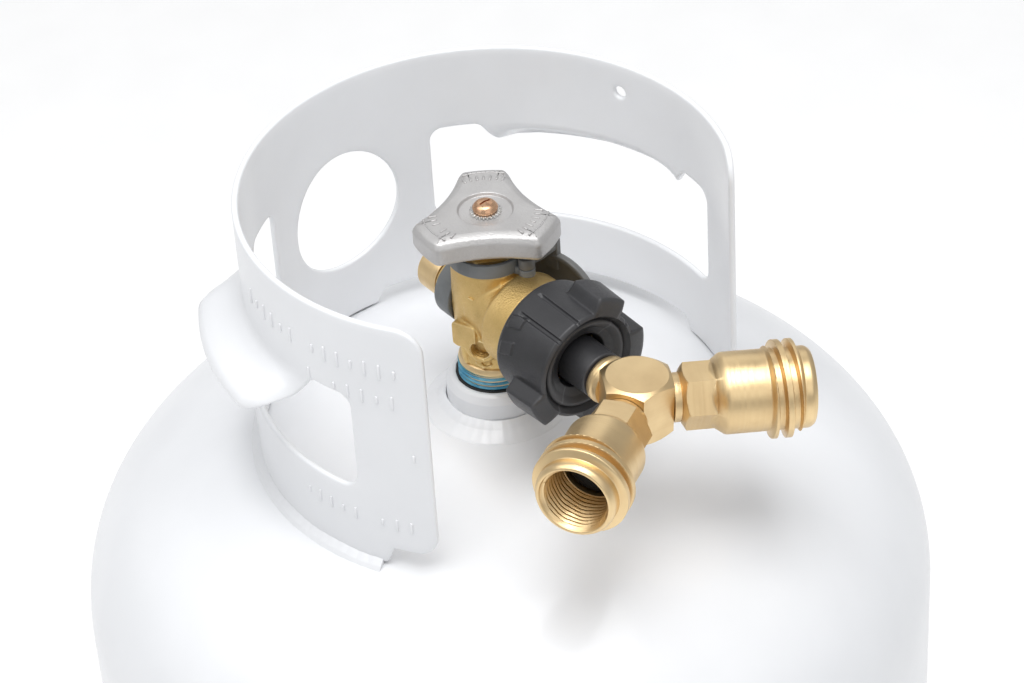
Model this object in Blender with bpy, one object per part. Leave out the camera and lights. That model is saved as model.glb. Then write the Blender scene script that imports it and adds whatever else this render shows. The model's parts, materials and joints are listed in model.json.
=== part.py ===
"""Refillable 20 lb propane cylinder with its overfill-protected valve and a fitted two-way splitter.

The cylinder stands on the ground at the origin, +Z up. The valve outlet and the open side of the
guard collar face -Y, and the pressure relief outlet faces +Y. Lengths below are in millimetres.
"""

import math

import bmesh
import bpy
from mathutils import Vector

MM = 0.001
CLEAR = 0.3  # gap kept between touching pieces

# Pressure vessel
TANK_R = 155.0
WALL = 2.2
SHOULDER_TOP = 276.0
SHOULDER_LOW = 98.0
DOME_RISE = 81.0
DOME_POWER = 2.31
GIRTH_Z = 0.5 * (SHOULDER_TOP + SHOULDER_LOW)
FOOT_R = 100.0
NECK_R = 18.0
NECK_TOP = 370.5

# Guard collar: a flat blank, cut, formed and rolled into an open ring
COLLAR_R = 86.0
COLLAR_WALL = 2.3
COLLAR_TOP = 451.0
COLLAR_FOOT = 348.4
COLLAR_TURN = 92.5  # direction of the collar's middle, degrees from +X
COLLAR_HALF = 126.0  # half of the arc it covers, degrees
LIP_OUT = 16.0

# Valve
OUT_Z = 403.0  # height of the outlet's axis
RELIEF_Z = 399.0
BODY_TOP = 418.0
SEAT_Z = 392.0
FLOAT_TILT = -152.0  # the lever's direction with the float hanging low
STOP_TURN = 190.0  # direction of the forged stop block, degrees from +X
BLEEDER_Z = 389.5
BLEEDER_TURN = 214.0
WHEEL_LOW = 430.2
WHEEL_TOP = 439.8
WHEEL_R = 26.4
WHEEL_TURN = 54.0
HINGE_X, HINGE_Y = 3.5, -17.15  # dust cap's pin
KNUCKLE_LOW, KNUCKLE_TOP = 420.5, 422.7
CAP_TURN = 16.0
CAP_R = 17.5
CAP_REACH = 18.0
CAP_THICK = 2.8

# Splitter: distances along the outlet's axis, from the valve's centre
NUT_REAR = 29.3
NUT_FRONT = 53.6
HUB_S = 78.9
HUB_FACE = 12.5
ROLL = 3.9
OUTLET_LENGTH = 59.2


# ---------------------------------------------------------------- tools

def clear_scene():
    for item in list(bpy.data.objects):
        bpy.data.objects.remove(item, do_unlink=True)


def finish(name, colour, roughness, metallic):
    material = bpy.data.materials.new(name)
    material.use_nodes = True
    shader = material.node_tree.nodes["Principled BSDF"]
    shader.inputs["Base Color"].default_value = (*colour, 1.0)
    shader.inputs["Roughness"].default_value = roughness
    shader.inputs["Metallic"].default_value = metallic
    return material


def frame(name, place, turn=(0.0, 0.0, 0.0), parent=None):
    """An empty that carries the pieces on one axis; place in mm, turn in degrees."""
    empty = bpy.data.objects.new(name, None)
    empty.location = Vector(place) * MM
    empty.rotation_euler = [math.radians(angle) for angle in turn]
    empty.parent = parent
    bpy.context.scene.collection.objects.link(empty)
    return empty


def solid(name, mesh_data, material, parent=None):
    bmesh.ops.recalc_face_normals(mesh_data, faces=mesh_data.faces)
    mesh = bpy.data.meshes.new(name)
    mesh_data.to_mesh(mesh)
    mesh_data.free()
    mesh.shade_smooth()
    mesh.set_sharp_from_angle(angle=math.radians(35))
    mesh.materials.append(material)
    item = bpy.data.objects.new(name, mesh)
    item.parent = parent
    bpy.context.scene.collection.objects.link(item)
    return item


def turned(name, outline, material, parent=None, steps=18, arc=None):
    """A closed outline of (radius, height) points turned about local Z; arc = (start, end) degrees."""
    shape = bmesh.new()
    start, end = arc if arc else (0.0, 360.0)
    first = math.radians(start)
    points = [
        shape.verts.new((r * MM * math.cos(first), r * MM * math.sin(first), z * MM)) for r, z in outline
    ]
    face = shape.faces.new(points)
    bmesh.ops.spin(
        shape,
        geom=[face] if arc else [edge for edge in face.edges],
        axis=(0, 0, 1),
        cent=(0, 0, 0),
        angle=math.radians(end - start),
        steps=steps,
        use_merge=not arc,
    )
    if arc is None:
        bmesh.ops.delete(shape, geom=[face], context="FACES_ONLY")
    bmesh.ops.remove_doubles(shape, verts=shape.verts, dist=1e-6)
    on_axis = [edge for edge in shape.edges if not edge.link_faces]
    bmesh.ops.delete(shape, geom=on_axis, context="EDGES")
    return solid(name, shape, material, parent)


def prism(name, outline, low, high, material, parent=None):
    """A closed outline of (x, y) points drawn up local Z from low to high."""
    shape = bmesh.new()
    face = shape.faces.new([shape.verts.new((x * MM, y * MM, low * MM)) for x, y in outline])
    drawn = bmesh.ops.extrude_face_region(shape, geom=[face])
    top = [part for part in drawn["geom"] if isinstance(part, bmesh.types.BMVert)]
    bmesh.ops.translate(shape, verts=top, vec=(0, 0, (high - low) * MM))
    return solid(name, shape, material, parent)


def guide(item):
    item.hide_render = True
    item.display_type = "WIRE"
    return item


def boolean(target, tool, operation):
    modifier = target.modifiers.new(tool.name, "BOOLEAN")
    modifier.operation = operation
    modifier.solver = "EXACT"
    modifier.object = guide(tool)


def cut(target, *tools):
    for tool in tools:
        boolean(target, tool, "DIFFERENCE")


def join(target, *tools):
    for tool in tools:
        boolean(target, tool, "UNION")


def rod(radius, low, high):
    return [(0.0, low), (radius, low), (radius, high), (0.0, high)]


def ring(inner, outer, low, high):
    return [(inner, low), (outer, low), (outer, high), (inner, high)]


def chamfered(inner, outer, low, high, edge):
    return [
        (inner, low),
        (outer - edge, low),
        (outer, low + edge),
        (outer, high - edge),
        (outer - edge, high),
        (inner, high),
    ]


def polygon(sides, flat, turn=0.0):
    """A regular polygon whose flats are at the given distance from its middle."""
    corner = flat / math.cos(math.pi / sides)
    return [
        (
            corner * math.cos(math.radians(turn) + 2 * math.pi * (i + 0.5) / sides),
            corner * math.sin(math.radians(turn) + 2 * math.pi * (i + 0.5) / sides),
        )
        for i in range(sides)
    ]


def rounded(corners, radius, points=5):
    """An outline with each corner replaced by a short arc."""
    outline = []
    for i, corner in enumerate(corners):
        here = Vector(corner)
        back = (Vector(corners[i - 1]) - here).normalized()
        ahead = (Vector(corners[(i + 1) % len(corners)]) - here).normalized()
        reach = radius / math.tan(0.5 * back.angle(ahead))
        for k in range(points):
            t = k / (points - 1)
            start, end = here + back * reach, here + ahead * reach
            outline.append(tuple((1 - t) ** 2 * start + 2 * t * (1 - t) * here + t * t * end))
    return outline


# ---------------------------------------------------------------- pressure vessel

def dome_outline(radius, rise, edge_r, points=8):
    """(radius, height above the shoulder) from the shoulder to edge_r, on a flattened dome."""
    last = math.acos((edge_r / radius) ** (DOME_POWER / 2)) if edge_r > 0 else math.pi / 2
    return [
        (
            radius * math.cos(last * i / points) ** (2 / DOME_POWER),
            rise * math.sin(last * i / points) ** (2 / DOME_POWER),
        )
        for i in range(points + 1)
    ]


def dome_height(r):
    return DOME_RISE * (1 - (r / TANK_R) ** DOME_POWER) ** (1 / DOME_POWER)


def build_vessel(white):
    root_gap = 0.8
    hole = NECK_R + CLEAR
    outer = dome_outline(TANK_R, DOME_RISE, hole)
    inner = dome_outline(TANK_R - WALL, DOME_RISE - WALL, hole, 5)
    upper = [(TANK_R, GIRTH_Z + root_gap)]
    upper += [(r, SHOULDER_TOP + z) for r, z in outer]
    upper += [(r, SHOULDER_TOP + z) for r, z in reversed(inner)]
    upper += [(TANK_R - WALL, GIRTH_Z + root_gap)]
    turned("upper_shell", upper, white, steps=44)

    outer = dome_outline(TANK_R, DOME_RISE + 1.0, 0)
    inner = dome_outline(TANK_R - WALL, DOME_RISE + 1.0 - WALL, 0, 5)
    lower = [(TANK_R, GIRTH_Z - root_gap)]
    lower += [(r, SHOULDER_LOW - z) for r, z in outer[:-1]]
    lower += [(0.0, SHOULDER_LOW - outer[-1][1]), (0.0, SHOULDER_LOW - inner[-1][1])]
    lower += [(r, SHOULDER_LOW - z) for r, z in reversed(inner[:-1])]
    lower += [(TANK_R - WALL, GIRTH_Z - root_gap)]
    turned("lower_shell", lower, white, steps=44)

    face, crown, half = TANK_R + CLEAR, TANK_R + 1.5, 3.6
    bead = [
        (TANK_R - WALL, GIRTH_Z - 0.5),
        (face, GIRTH_Z - 0.5),
        (face, GIRTH_Z - half),
        (crown, GIRTH_Z - 1.2),
        (crown, GIRTH_Z + 1.2),
        (face, GIRTH_Z + half),
        (face, GIRTH_Z + 0.5),
        (TANK_R - WALL, GIRTH_Z + 0.5),
    ]
    turned("girth_weld", bead, white, steps=44)


def build_neck(white):
    flange = [
        (13.9, 344.0),
        (NECK_R, 344.0),
        (NECK_R, NECK_TOP - 3.9),
        (NECK_R - 1.2, NECK_TOP - 1.3),
        (15.4, NECK_TOP),
        (14.8, NECK_TOP),
        (13.9, NECK_TOP - 0.9),
    ]
    turned("neck_flange", flange, white)
    reach = 26.0
    near, far = NECK_R + CLEAR, reach
    weld = [
        (near, SHOULDER_TOP + dome_height(near) + 0.35),
        (far, SHOULDER_TOP + dome_height(far) + 0.35),
        (far - 1.0, SHOULDER_TOP + dome_height(far) + 1.1),
        (near + 3.4, SHOULDER_TOP + dome_height(near) + 3.0),
        (near, SHOULDER_TOP + dome_height(near) + 5.6),
    ]
    turned("neck_weld", weld, white)


def lower_height(r):
    return SHOULDER_LOW - (DOME_RISE + 1.0) * (1 - (r / TANK_R) ** DOME_POWER) ** (1 / DOME_POWER)


def build_foot(white):
    wall, flare = 2.4, 3.5
    inner, outer = FOOT_R - wall / 2, FOOT_R + wall / 2
    outline = [
        (inner + flare - 1.6, 0.0),
        (outer + flare - 1.0, 0.0),
        (outer + flare, 1.5),
        (outer + flare, 4.5),
        (outer, 9.0),
        (outer, lower_height(outer) - 0.5),
        (inner, lower_height(inner) - 0.5),
        (inner, 8.0),
    ]
    foot = turned("foot_ring", outline, white, steps=40)
    for i in range(3):
        axis = frame(f"vent_axis_{i + 1}", (0, 0, 18.5), (90, 0, 60 * i + 30))
        vent = turned(f"vent_{i + 1}", rod(5.0, -120, 120), white, axis, steps=10)
        cut(foot, vent)

    near = outer + CLEAR
    weld = [
        (near, 26.6),
        (near + 1.0, 27.4),
        (near + 3.4, lower_height(near + 3.4) - 0.4),
        (near, lower_height(near) - 0.5),
    ]
    turned("foot_weld", weld, white, steps=40)


# ---------------------------------------------------------------- guard collar

def ease(t):
    t = min(max(t, 0.0), 1.0)
    return t * t * (3 - 2 * t)


def blank_x(angle):
    return math.radians(angle) * COLLAR_R


def cutter(name, outline, material):
    """A prism through the flat blank, whose outline is (angle in degrees, height)."""
    tool = prism(name, [(blank_x(a), z) for a, z in outline], -10, 10, material)
    tool.rotation_euler = (math.radians(90), 0, 0)
    return guide(tool)


def on_circle(angle, height, radius, turn):
    """A point (angle, height) on a circle drawn on the blank, a fraction of a turn round it."""
    round_by = 2 * math.pi * turn
    along = math.degrees(radius * math.cos(round_by) / COLLAR_R)
    return angle + along, height + radius * math.sin(round_by)


def hand_hole(name, side, material):
    """The opening a hand goes through, with a tongue left at its top to be formed into a lip."""
    low, high, tongue = 378.0, 418.0, 403.0
    corners = [(25.5, low), (107.0, low), (107.0, high), (96.0, high), (91.5, 409.0), (85.0, tongue)]
    corners += [(49.0, tongue), (42.5, 409.0), (38.0, high), (25.5, high)]
    flat = [(blank_x(side * a), z) for a, z in corners]
    outline = rounded(flat[::side], 4.5)
    tool = prism(name, outline, -10, 10, material)
    tool.rotation_euler = (math.radians(90), 0, 0)
    return guide(tool)


def lip_push(angle, height):
    """How far the tongue over a hand hole is pushed out of the wall."""
    along = min(ease((abs(angle) - 38.0) / 13.0), ease((96.0 - abs(angle)) / 13.0))
    down = ease((417.0 - height) / 12.0)
    on_tongue = 402.0 < height < 417.0 and abs(angle) > 38.0
    return LIP_OUT * along * down if on_tongue else 0.0


def build_collar(white):
    columns, rows = 40, [COLLAR_FOOT, 403.2, 407.0, 412.0, 417.2, COLLAR_TOP]
    shape = bmesh.new()
    grid = [
        [
            shape.verts.new((blank_x(-COLLAR_HALF + 2 * COLLAR_HALF * i / columns) * MM, 0, z * MM))
            for z in rows
        ]
        for i in range(columns + 1)
    ]
    for i in range(columns):
        for k in range(len(rows) - 1):
            shape.faces.new((grid[i][k], grid[i + 1][k], grid[i + 1][k + 1], grid[i][k + 1]))
    sheet = bmesh.ops.extrude_face_region(shape, geom=list(shape.faces))
    back = [part for part in sheet["geom"] if isinstance(part, bmesh.types.BMVert)]
    bmesh.ops.translate(shape, verts=back, vec=(0, COLLAR_WALL * MM, 0))
    blank = solid("collar_blank", shape, white)

    top_corner, low_corner, tab_low = 10.0, 8.0, 355.8
    tools = [hand_hole("hand_hole_right", 1, white), hand_hole("hand_hole_left", -1, white)]
    round_hole = [on_circle(0.0, 396.0, 24.0, (i + 0.37) / 24) for i in range(24)]
    tools.append(cutter("relief_hole", round_hole, white))
    small = [on_circle(75.4, 439.0, 2.3, i / 10) for i in range(10)]
    tools.append(cutter("tag_hole", small, white))
    arch = [(8.0, 340.0), (98.0, 340.0), (98.0, 350.0), (95.0, 353.5), (11.0, 353.5), (8.0, 350.0)]
    tools.append(cutter("drain_arch", arch, white))
    for side, word in ((1, "right"), (-1, "left")):
        end = blank_x(COLLAR_HALF)
        corner_start = COLLAR_TOP - top_corner
        top = [(end + 5, COLLAR_TOP + 5), (end + 5, corner_start), (end, corner_start)]
        top += [
            (
                end - top_corner * (1 - math.cos(math.radians(a))),
                COLLAR_TOP - top_corner * (1 - math.sin(math.radians(a))),
            )
            for a in (15, 30, 45, 60, 75)
        ]
        top += [(end - top_corner, COLLAR_TOP), (end - top_corner, COLLAR_TOP + 5)]
        foot_end = blank_x(113.0)
        low = [(end + 5, 340.0), (end + 5, tab_low + low_corner), (end, tab_low + low_corner)]
        low += [
            (
                end - low_corner * (1 - math.cos(math.radians(a))),
                tab_low + low_corner * (1 - math.sin(math.radians(a))),
            )
            for a in (15, 30, 45, 60, 75)
        ]
        low += [(end - low_corner, tab_low), (foot_end + 2, tab_low)]
        low += [(foot_end, tab_low - 2), (foot_end, 340.0)]
        for part, outline in (("top", top), ("low", low)):
            tools.append(
                cutter(
                    f"{part}_corner_{word}",
                    [(math.degrees(side * x / COLLAR_R), z) for x, z in outline][::side],
                    white,
                )
            )
    cut(blank, *tools)

    bpy.context.view_layer.update()
    graph = bpy.context.evaluated_depsgraph_get()
    rolled = bpy.data.meshes.new_from_object(blank.evaluated_get(graph))
    guide(blank)
    for point in rolled.vertices:
        angle = math.degrees(point.co.x / MM / COLLAR_R)
        height = point.co.z / MM
        radius = COLLAR_R - point.co.y / MM + lip_push(angle, height)
        turn = math.radians(COLLAR_TURN - angle)
        point.co = (radius * MM * math.cos(turn), radius * MM * math.sin(turn), height * MM)
    shape = bmesh.new()
    shape.from_mesh(rolled)
    bmesh.ops.remove_doubles(shape, verts=shape.verts, dist=1e-5)
    bmesh.ops.triangulate(shape, faces=shape.faces)
    bpy.data.meshes.remove(rolled)
    solid("collar", shape, white)

    near, reach = COLLAR_R + CLEAR, 3.0
    bead = [
        (near, SHOULDER_TOP + dome_height(near) + 0.4),
        (near + reach, SHOULDER_TOP + dome_height(near + reach) + 0.4),
        (near + 0.6 * reach, SHOULDER_TOP + dome_height(near + reach) + 1.4),
        (near, SHOULDER_TOP + dome_height(near) + 2.4),
    ]
    beads = {"collar_weld_left": (-112.0, 7.0), "collar_weld_right": (99.0, 112.0)}
    for name, (start, end) in beads.items():
        steps = max(3, round((end - start) / 6))
        turned(name, bead, white, steps=steps, arc=(COLLAR_TURN - end, COLLAR_TURN - start))


# ---------------------------------------------------------------- valve

def build_valve_body(brass, outlet, relief, bleeder):
    column = [
        (0.0, 346.0),
        (12.6, 346.0),
        (13.6, 347.5),
        (13.6, NECK_TOP - 0.6),
        (12.4, NECK_TOP - 0.3),
        (12.4, 376.4),
        (12.9, 376.6),
        (12.9, 378.6),
        (12.0, 379.4),
        (12.0, 384.0),
        (13.4, 387.0),
        (13.4, BODY_TOP - 1.0),
        (12.6, BODY_TOP),
        (0.0, BODY_TOP),
    ]
    body = turned("valve_body", column, brass)
    reach, half = 15.5, 5.5
    stop = frame("stop_axis", (0, 0, 0), (0, 0, STOP_TURN))
    outline = [(2.0, -half), (reach, -half), (reach, half), (2.0, half)]
    block = prism("stop_block", outline, 388.0, 399.5, brass, stop)
    barrel = [
        (0.0, 4.0),
        (13.8, 4.0),
        (13.8, 14.8),
        (17.2, 16.0),
        (17.2, 24.6),
        (16.4, 25.6),
        (16.4, 38.6),
        (15.4, 39.8),
        (0.0, 39.8),
    ]
    nose = turned("valve_nose", barrel, brass, outlet)
    rear = turned("relief_barrel", [(0.0, 4.0), (9.4, 4.0), (9.4, 20.9), (0.0, 20.9)], brass, relief)
    outline = [(0.0, 6.0), (6.2, 6.0), (5.4, 18.8), (0.0, 18.8)]
    boss = turned("bleeder_boss", outline, brass, bleeder, steps=12)
    join(body, block, nose, rear, boss)

    seat = SEAT_Z + 1.0
    passage = [(0, 340), (4, 340), (4, seat), (5.2, seat), (5.2, SEAT_Z), (8.6, SEAT_Z), (8.6, 425), (0, 425)]
    chamber = [(0, 13.6), (6.5, 13.6), (6.5, 18.0), (7.9, 18.0), (7.9, 25), (0, 25)]
    socket = [(0, 9.6), (2.6, 9.6), (2.6, 14.0), (3.9, 14.0), (3.9, 25), (0, 25)]
    bores = [
        turned("gas_passage", passage, brass, steps=14),
        turned("relief_chamber", chamber, brass, relief, steps=14),
        turned("bleeder_bore", socket, brass, bleeder, steps=12),
    ]
    tilt = frame("relief_passage_axis", (0, 0, 380.0), (-36.0, 0, 0))
    bores.append(turned("relief_passage", rod(1.6, 0, 24.0), brass, tilt, steps=10))
    turn = math.radians(BLEEDER_TURN)
    drop = frame("bleeder_drop", (10.6 * math.cos(turn), 10.6 * math.sin(turn), 0))
    bores.append(turned("bleeder_passage", rod(1.1, 340, BLEEDER_Z), brass, drop, steps=10))
    cavity = [(0, 10.6), (9.5, 10.6), (9.5, 32.0), (12.6, 34.0), (12.6, 45), (0, 45)]
    bores += [
        turned("outlet_passage", rod(4.5, 6.0, 20.0), brass, outlet, steps=14),
        turned("outlet_cavity", cavity, brass, outlet),
    ]
    cut(body, *bores)
    return drop


def build_valve_inside(brass, steel, rubber, sealant, outlet, drop):
    turned("thread_sealant", chamfered(12.7, 13.5, NECK_TOP + CLEAR, 376.3, 0.3), sealant)
    bonnet = turned(
        "bonnet",
        [
            (4.3, 411.5),
            (8.3, 411.5),
            (8.3, 418.2),
            (8.9, 418.3),
            (8.9, 428.0),
            (6.4, 428.0),
            (6.4, 422.0),
            (4.3, 422.0),
        ],
        brass,
    )
    flats = prism("bonnet_flats", polygon(6, 10.4), 418.3, 424.8, brass)
    opening = turned("bonnet_bore", rod(6.4, 412, 430), brass)
    cut(flats, opening)
    join(bonnet, flats)
    turned(
        "stem",
        [
            (2.2, 402.5),
            (2.6, 403.0),
            (2.6, 409.4),
            (5.6, 409.6),
            (5.6, 411.2),
            (3.9, 411.2),
            (3.9, WHEEL_LOW + 0.2),
            (3.2, WHEEL_LOW + 0.2),
            (3.2, WHEEL_TOP - 1.8),
            (2.1, WHEEL_TOP - 1.8),
            (2.1, 426.0),
            (0.0, 426.0),
            (0.0, 402.5),
        ],
        brass,
        steps=14,
    )
    turned("stem_seal", chamfered(4.2, 6.1, 422.4, 424.8, 0.5), rubber, steps=14)
    turned("gland_ring", chamfered(4.2, 6.1, 425.1, 427.7, 0.3), steel, steps=14)
    turned(
        "seat_plug",
        [
            (0.0, 396.0),
            (4.9, 396.0),
            (4.9, 393.9),
            (6.6, 393.9),
            (6.6, 398.2),
            (4.6, 399.4),
            (4.6, 406.0),
            (2.95, 406.0),
            (2.95, 399.0),
            (0.0, 399.0),
        ],
        brass,
        steps=14,
    )
    disc = [(0.0, 393.4), (4.2, 393.4), (4.6, 393.9), (4.6, 395.7), (0.0, 395.7)]
    turned("seat_disc", disc, rubber, steps=14)

    turned(
        "check_body",
        [(6.3, 24.0), (6.3, 25.6), (9.2, 25.6), (9.2, 21.6), (3.6, 21.6), (3.6, 23.6), (6.3, 23.6)],
        brass,
        outlet,
        steps=14,
    )
    plunger = [
        (0.0, 12.4),
        (1.7, 12.4),
        (1.7, 17.6),
        (5.2, 18.0),
        (5.2, 19.4),
        (1.7, 20.2),
        (1.7, 23.7),
        (0.0, 23.7),
    ]
    turned("check_plunger", plunger, brass, outlet, steps=12)
    coil("check_spring", 3.2, 0.45, 11.2, 17.2, 4.0, steel, outlet)
    seal = [(6.4, 26.0), (9.2, 26.0), (9.2, 30.6), (7.6, 31.6), (6.9, 31.0), (6.4, 28.5)]
    turned("outlet_seal", seal, rubber, outlet)

    tube = [(1.2, 252.0), (1.9, 252.0), (1.9, 345.6), (1.2, 345.6)]
    turned("dip_tube", tube, brass, drop, steps=10)


def coil(name, radius, wire, low, high, turns, material, parent):
    """A round-wire compression spring along local Z, closed at both ends."""
    sides, per_turn = 4, 9
    count = round(turns * per_turn)
    shape = bmesh.new()
    rings = []
    for i in range(count + 1):
        angle = 2 * math.pi * i / per_turn
        centre = Vector((math.cos(angle), math.sin(angle), 0)) * radius
        centre.z = low + wire + (high - low - 2 * wire) * i / count
        out = Vector((math.cos(angle), math.sin(angle), 0))
        loop = []
        for k in range(sides):
            turn = 2 * math.pi * k / sides
            point = centre + out * wire * math.cos(turn) + Vector((0, 0, wire * math.sin(turn)))
            loop.append(shape.verts.new(point * MM))
        rings.append(loop)
    for first, second in zip(rings, rings[1:]):
        for k in range(sides):
            shape.faces.new((first[k], first[(k + 1) % sides], second[(k + 1) % sides], second[k]))
    shape.faces.new(rings[0])
    shape.faces.new(rings[-1])
    return solid(name, shape, material, parent)


def build_relief(brass, steel, relief):
    turned(
        "relief_poppet",
        [(0.0, 14.0), (5.6, 14.0), (5.6, 16.2), (1.7, 16.8), (1.7, 25.5), (0.0, 25.5)],
        brass,
        relief,
        steps=12,
    )
    coil("relief_spring", 4.3, 0.7, 17.0, 26.9, 5.0, steel, relief)
    turned(
        "relief_cap",
        [
            (6.3, 18.3),
            (7.6, 18.3),
            (7.6, 21.2),
            (9.0, 21.2),
            (9.0, 31.2),
            (8.2, 32.0),
            (6.6, 32.0),
            (6.2, 30.6),
            (2.2, 30.6),
            (2.2, 27.2),
            (6.3, 27.2),
        ],
        brass,
        relief,
    )


def build_bleeder(brass, rubber, bleeder):
    outline = [
        (0.0, 11.0),
        (1.4, 11.0),
        (2.3, 12.2),
        (2.3, 15.3),
        (3.5, 15.3),
        (3.5, 17.8),
        (3.1, 18.2),
        (0.0, 18.2),
    ]
    screw = turned("bleeder_screw", outline, brass, bleeder, steps=12)
    slot = prism("bleeder_slot", [(-5, -0.5), (5, -0.5), (5, 0.5), (-5, 0.5)], 17.0, 20.0, brass, bleeder)
    cut(screw, slot)
    turned("bleeder_seal", ring(2.6, 3.6, 14.3, 15.0), rubber, bleeder, steps=12)


def build_float(brass, plastic, steel):
    """Overfill device under the valve: a float lifts a piston that shuts the inlet."""
    housing = turned(
        "opd_housing",
        [(5.2, 306.0), (7.8, 306.0), (7.8, 345.7), (3.2, 345.7), (3.2, 336.0), (5.2, 334.0)],
        plastic,
        steps=14,
    )
    for side in (-1, 1):
        x = 5.4 * side
        ear = prism(
            f"opd_ear_{'left' if side < 0 else 'right'}",
            [(x - 1.0, -4.2), (x + 1.0, -4.2), (x + 1.0, 4.2), (x - 1.0, 4.2)],
            289.0,
            308.0,
            plastic,
        )
        join(housing, ear)
    pin_axis = frame("float_pin_axis", (0, 0, 293.0), (0, 90, 0))
    cut(housing, turned("float_pin_hole", rod(1.5, -10, 10), plastic, pin_axis, steps=12))
    cut(housing, turned("opd_bore", rod(5.4, 280, 312), plastic, steps=14))
    port_axis = frame("gas_port_axis", (0, 0, 331.0), (0, 90, 0))
    cut(housing, turned("gas_port", rod(2.6, -12, 12), plastic, port_axis, steps=12))
    turned("float_pin", rod(1.2, -7.2, 7.2), steel, pin_axis, steps=12)
    piston = [(0.0, 298.6), (2.0, 298.6), (2.0, 316.0), (4.8, 317.0), (4.8, 328.0), (0.0, 329.5)]
    turned("opd_piston", piston, brass, steps=12)

    swing = frame("float_swing", (0, 0, 293.0), (0, 0, 0))
    hub_axis = frame("float_hub_axis", (0, 0, 0), (0, 90, 0), swing)
    arm = turned("float_arm", ring(1.45, 5.0, -3.6, 3.6), plastic, hub_axis, steps=12)
    lever = frame("float_lever", (0, 0, 0), (FLOAT_TILT, 0, 0), swing)
    stalk = turned("float_stalk", rod(1.6, 3.5, 84.0), plastic, lever, steps=10)
    join(arm, stalk)
    bulb = [(1.9, 30.0), (8.0, 30.0), (9.5, 31.5), (9.5, 78.5), (8.0, 80.0), (1.9, 80.0)]
    turned("float", bulb, plastic, lever, steps=14)
    turned("float_clip", ring(1.9, 4.0, 80.4, 81.6), steel, lever, steps=12)


def wheel_outline():
    """Three flat-ended lobes with shallow concave sides between them."""
    lobe_half, dish, side_points = 18.8, 2.8, 5
    corners = []
    for i in range(3):
        middle = WHEEL_TURN + 120 * i
        for offset in (-lobe_half, lobe_half):
            turn = math.radians(middle + offset)
            corners.append(Vector((WHEEL_R * math.cos(turn), WHEEL_R * math.sin(turn))))
    outline = []
    for i in range(3):
        first, second, following = corners[2 * i], corners[2 * i + 1], corners[(2 * i + 2) % 6]
        outline += arc_corner(corners[2 * i - 1], first, second, dish)
        outline += arc_corner(first, second, following, dish)
        chord = following - second
        inward = Vector((-chord.y, chord.x)).normalized()
        for k in range(1, side_points + 1):
            t = 0.12 + 0.76 * (k - 1) / (side_points - 1)
            outline.append(second + chord * t + inward * dish * 4 * t * (1 - t))
    return [tuple(point) for point in outline]


def arc_corner(before, here, after, radius):
    back, ahead = (before - here).normalized(), (after - here).normalized()
    start, end = here + back * radius, here + ahead * radius
    return [start * (1 - t) ** 2 + here * 2 * t * (1 - t) + end * t * t for t in (0, 0.33, 0.67, 1)]


def build_wheel(cast, steel, copper):
    outline = wheel_outline()
    wheel = prism("handwheel", outline, WHEEL_LOW, WHEEL_TOP, cast)
    edge = wheel.modifiers.new("edges", "BEVEL")
    edge.width = 1.6 * MM
    edge.segments = 1
    edge.limit_method = "ANGLE"
    edge.angle_limit = math.radians(50)
    cut(wheel, turned("wheel_recess", rod(9.4, WHEEL_TOP - 1.1, WHEEL_TOP + 4), cast))
    cut(wheel, turned("wheel_bore", rod(3.5, WHEEL_LOW - 4, WHEEL_TOP + 4), cast, steps=14))
    under = turned("wheel_underside", rod(12.0, WHEEL_LOW - 4, WHEEL_LOW + 2.2), cast)
    cut(wheel, under)
    floor = WHEEL_TOP - 1.1
    turned("wheel_washer", ring(2.3, 5.2, floor + 0.3, floor + 1.1), steel, steps=14)
    turned(
        "wheel_screw",
        [
            (0.0, 427.0),
            (1.8, 427.0),
            (1.8, floor + 1.4),
            (4.4, floor + 1.4),
            (4.5, floor + 2.2),
            (3.7, floor + 3.6),
            (2.0, floor + 4.4),
            (0.0, floor + 4.6),
        ],
        copper,
        steps=14,
    )


def build_retainer(grey, steel, relief):
    """Grey clip round the bonnet and the relief outlet that carries the dust cap's hinge."""
    low, high = BODY_TOP + CLEAR, 425.6
    clip = turned("cap_retainer", chamfered(12.7, 14.5, low, high, 0.3), grey)
    hoop = turned("relief_hoop", ring(10.4, 12.2, 9.2, 17.4), grey, relief)
    cut(hoop, turned("column_room", rod(13.9, 380, 430), grey))
    side = [
        (13.4, low),
        (13.4, high - 0.3),
        (15.6, high - 0.6),
        (17.0, 415.0),
        (17.2, 410.3),
        (14.2, 410.3),
        (14.2, low),
    ]
    link = prism("clip_link", side, -5.5, 5.5, grey, frame("link_axis", (0, 0, 0), (90, 0, 90)))
    join(clip, hoop, link)
    hinge = frame("cap_hinge", (HINGE_X, HINGE_Y, 0))
    knuckle = turned("knuckle", rod(2.9, KNUCKLE_LOW, KNUCKLE_TOP), grey, hinge, steps=14)
    bridge = prism(
        "knuckle_bridge",
        [(-2.0, 0.5), (2.0, 0.5), (1.2, 4.4), (-3.4, 4.4)],
        KNUCKLE_LOW,
        KNUCKLE_TOP,
        grey,
        hinge,
    )
    join(clip, knuckle, bridge)
    cut(clip, turned("retainer_bore", rod(12.7, 400, 430), grey))
    cut(clip, turned("hinge_hole", rod(1.35, 410, 430), grey, hinge, steps=12))
    pin = [(0, 420.8), (1.05, 420.8), (1.05, 427.3), (2.2, 427.3), (1.9, 428.0), (0, 428.0)]
    turned("cap_pin", pin, steel, hinge, steps=12)
    return hinge


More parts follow.
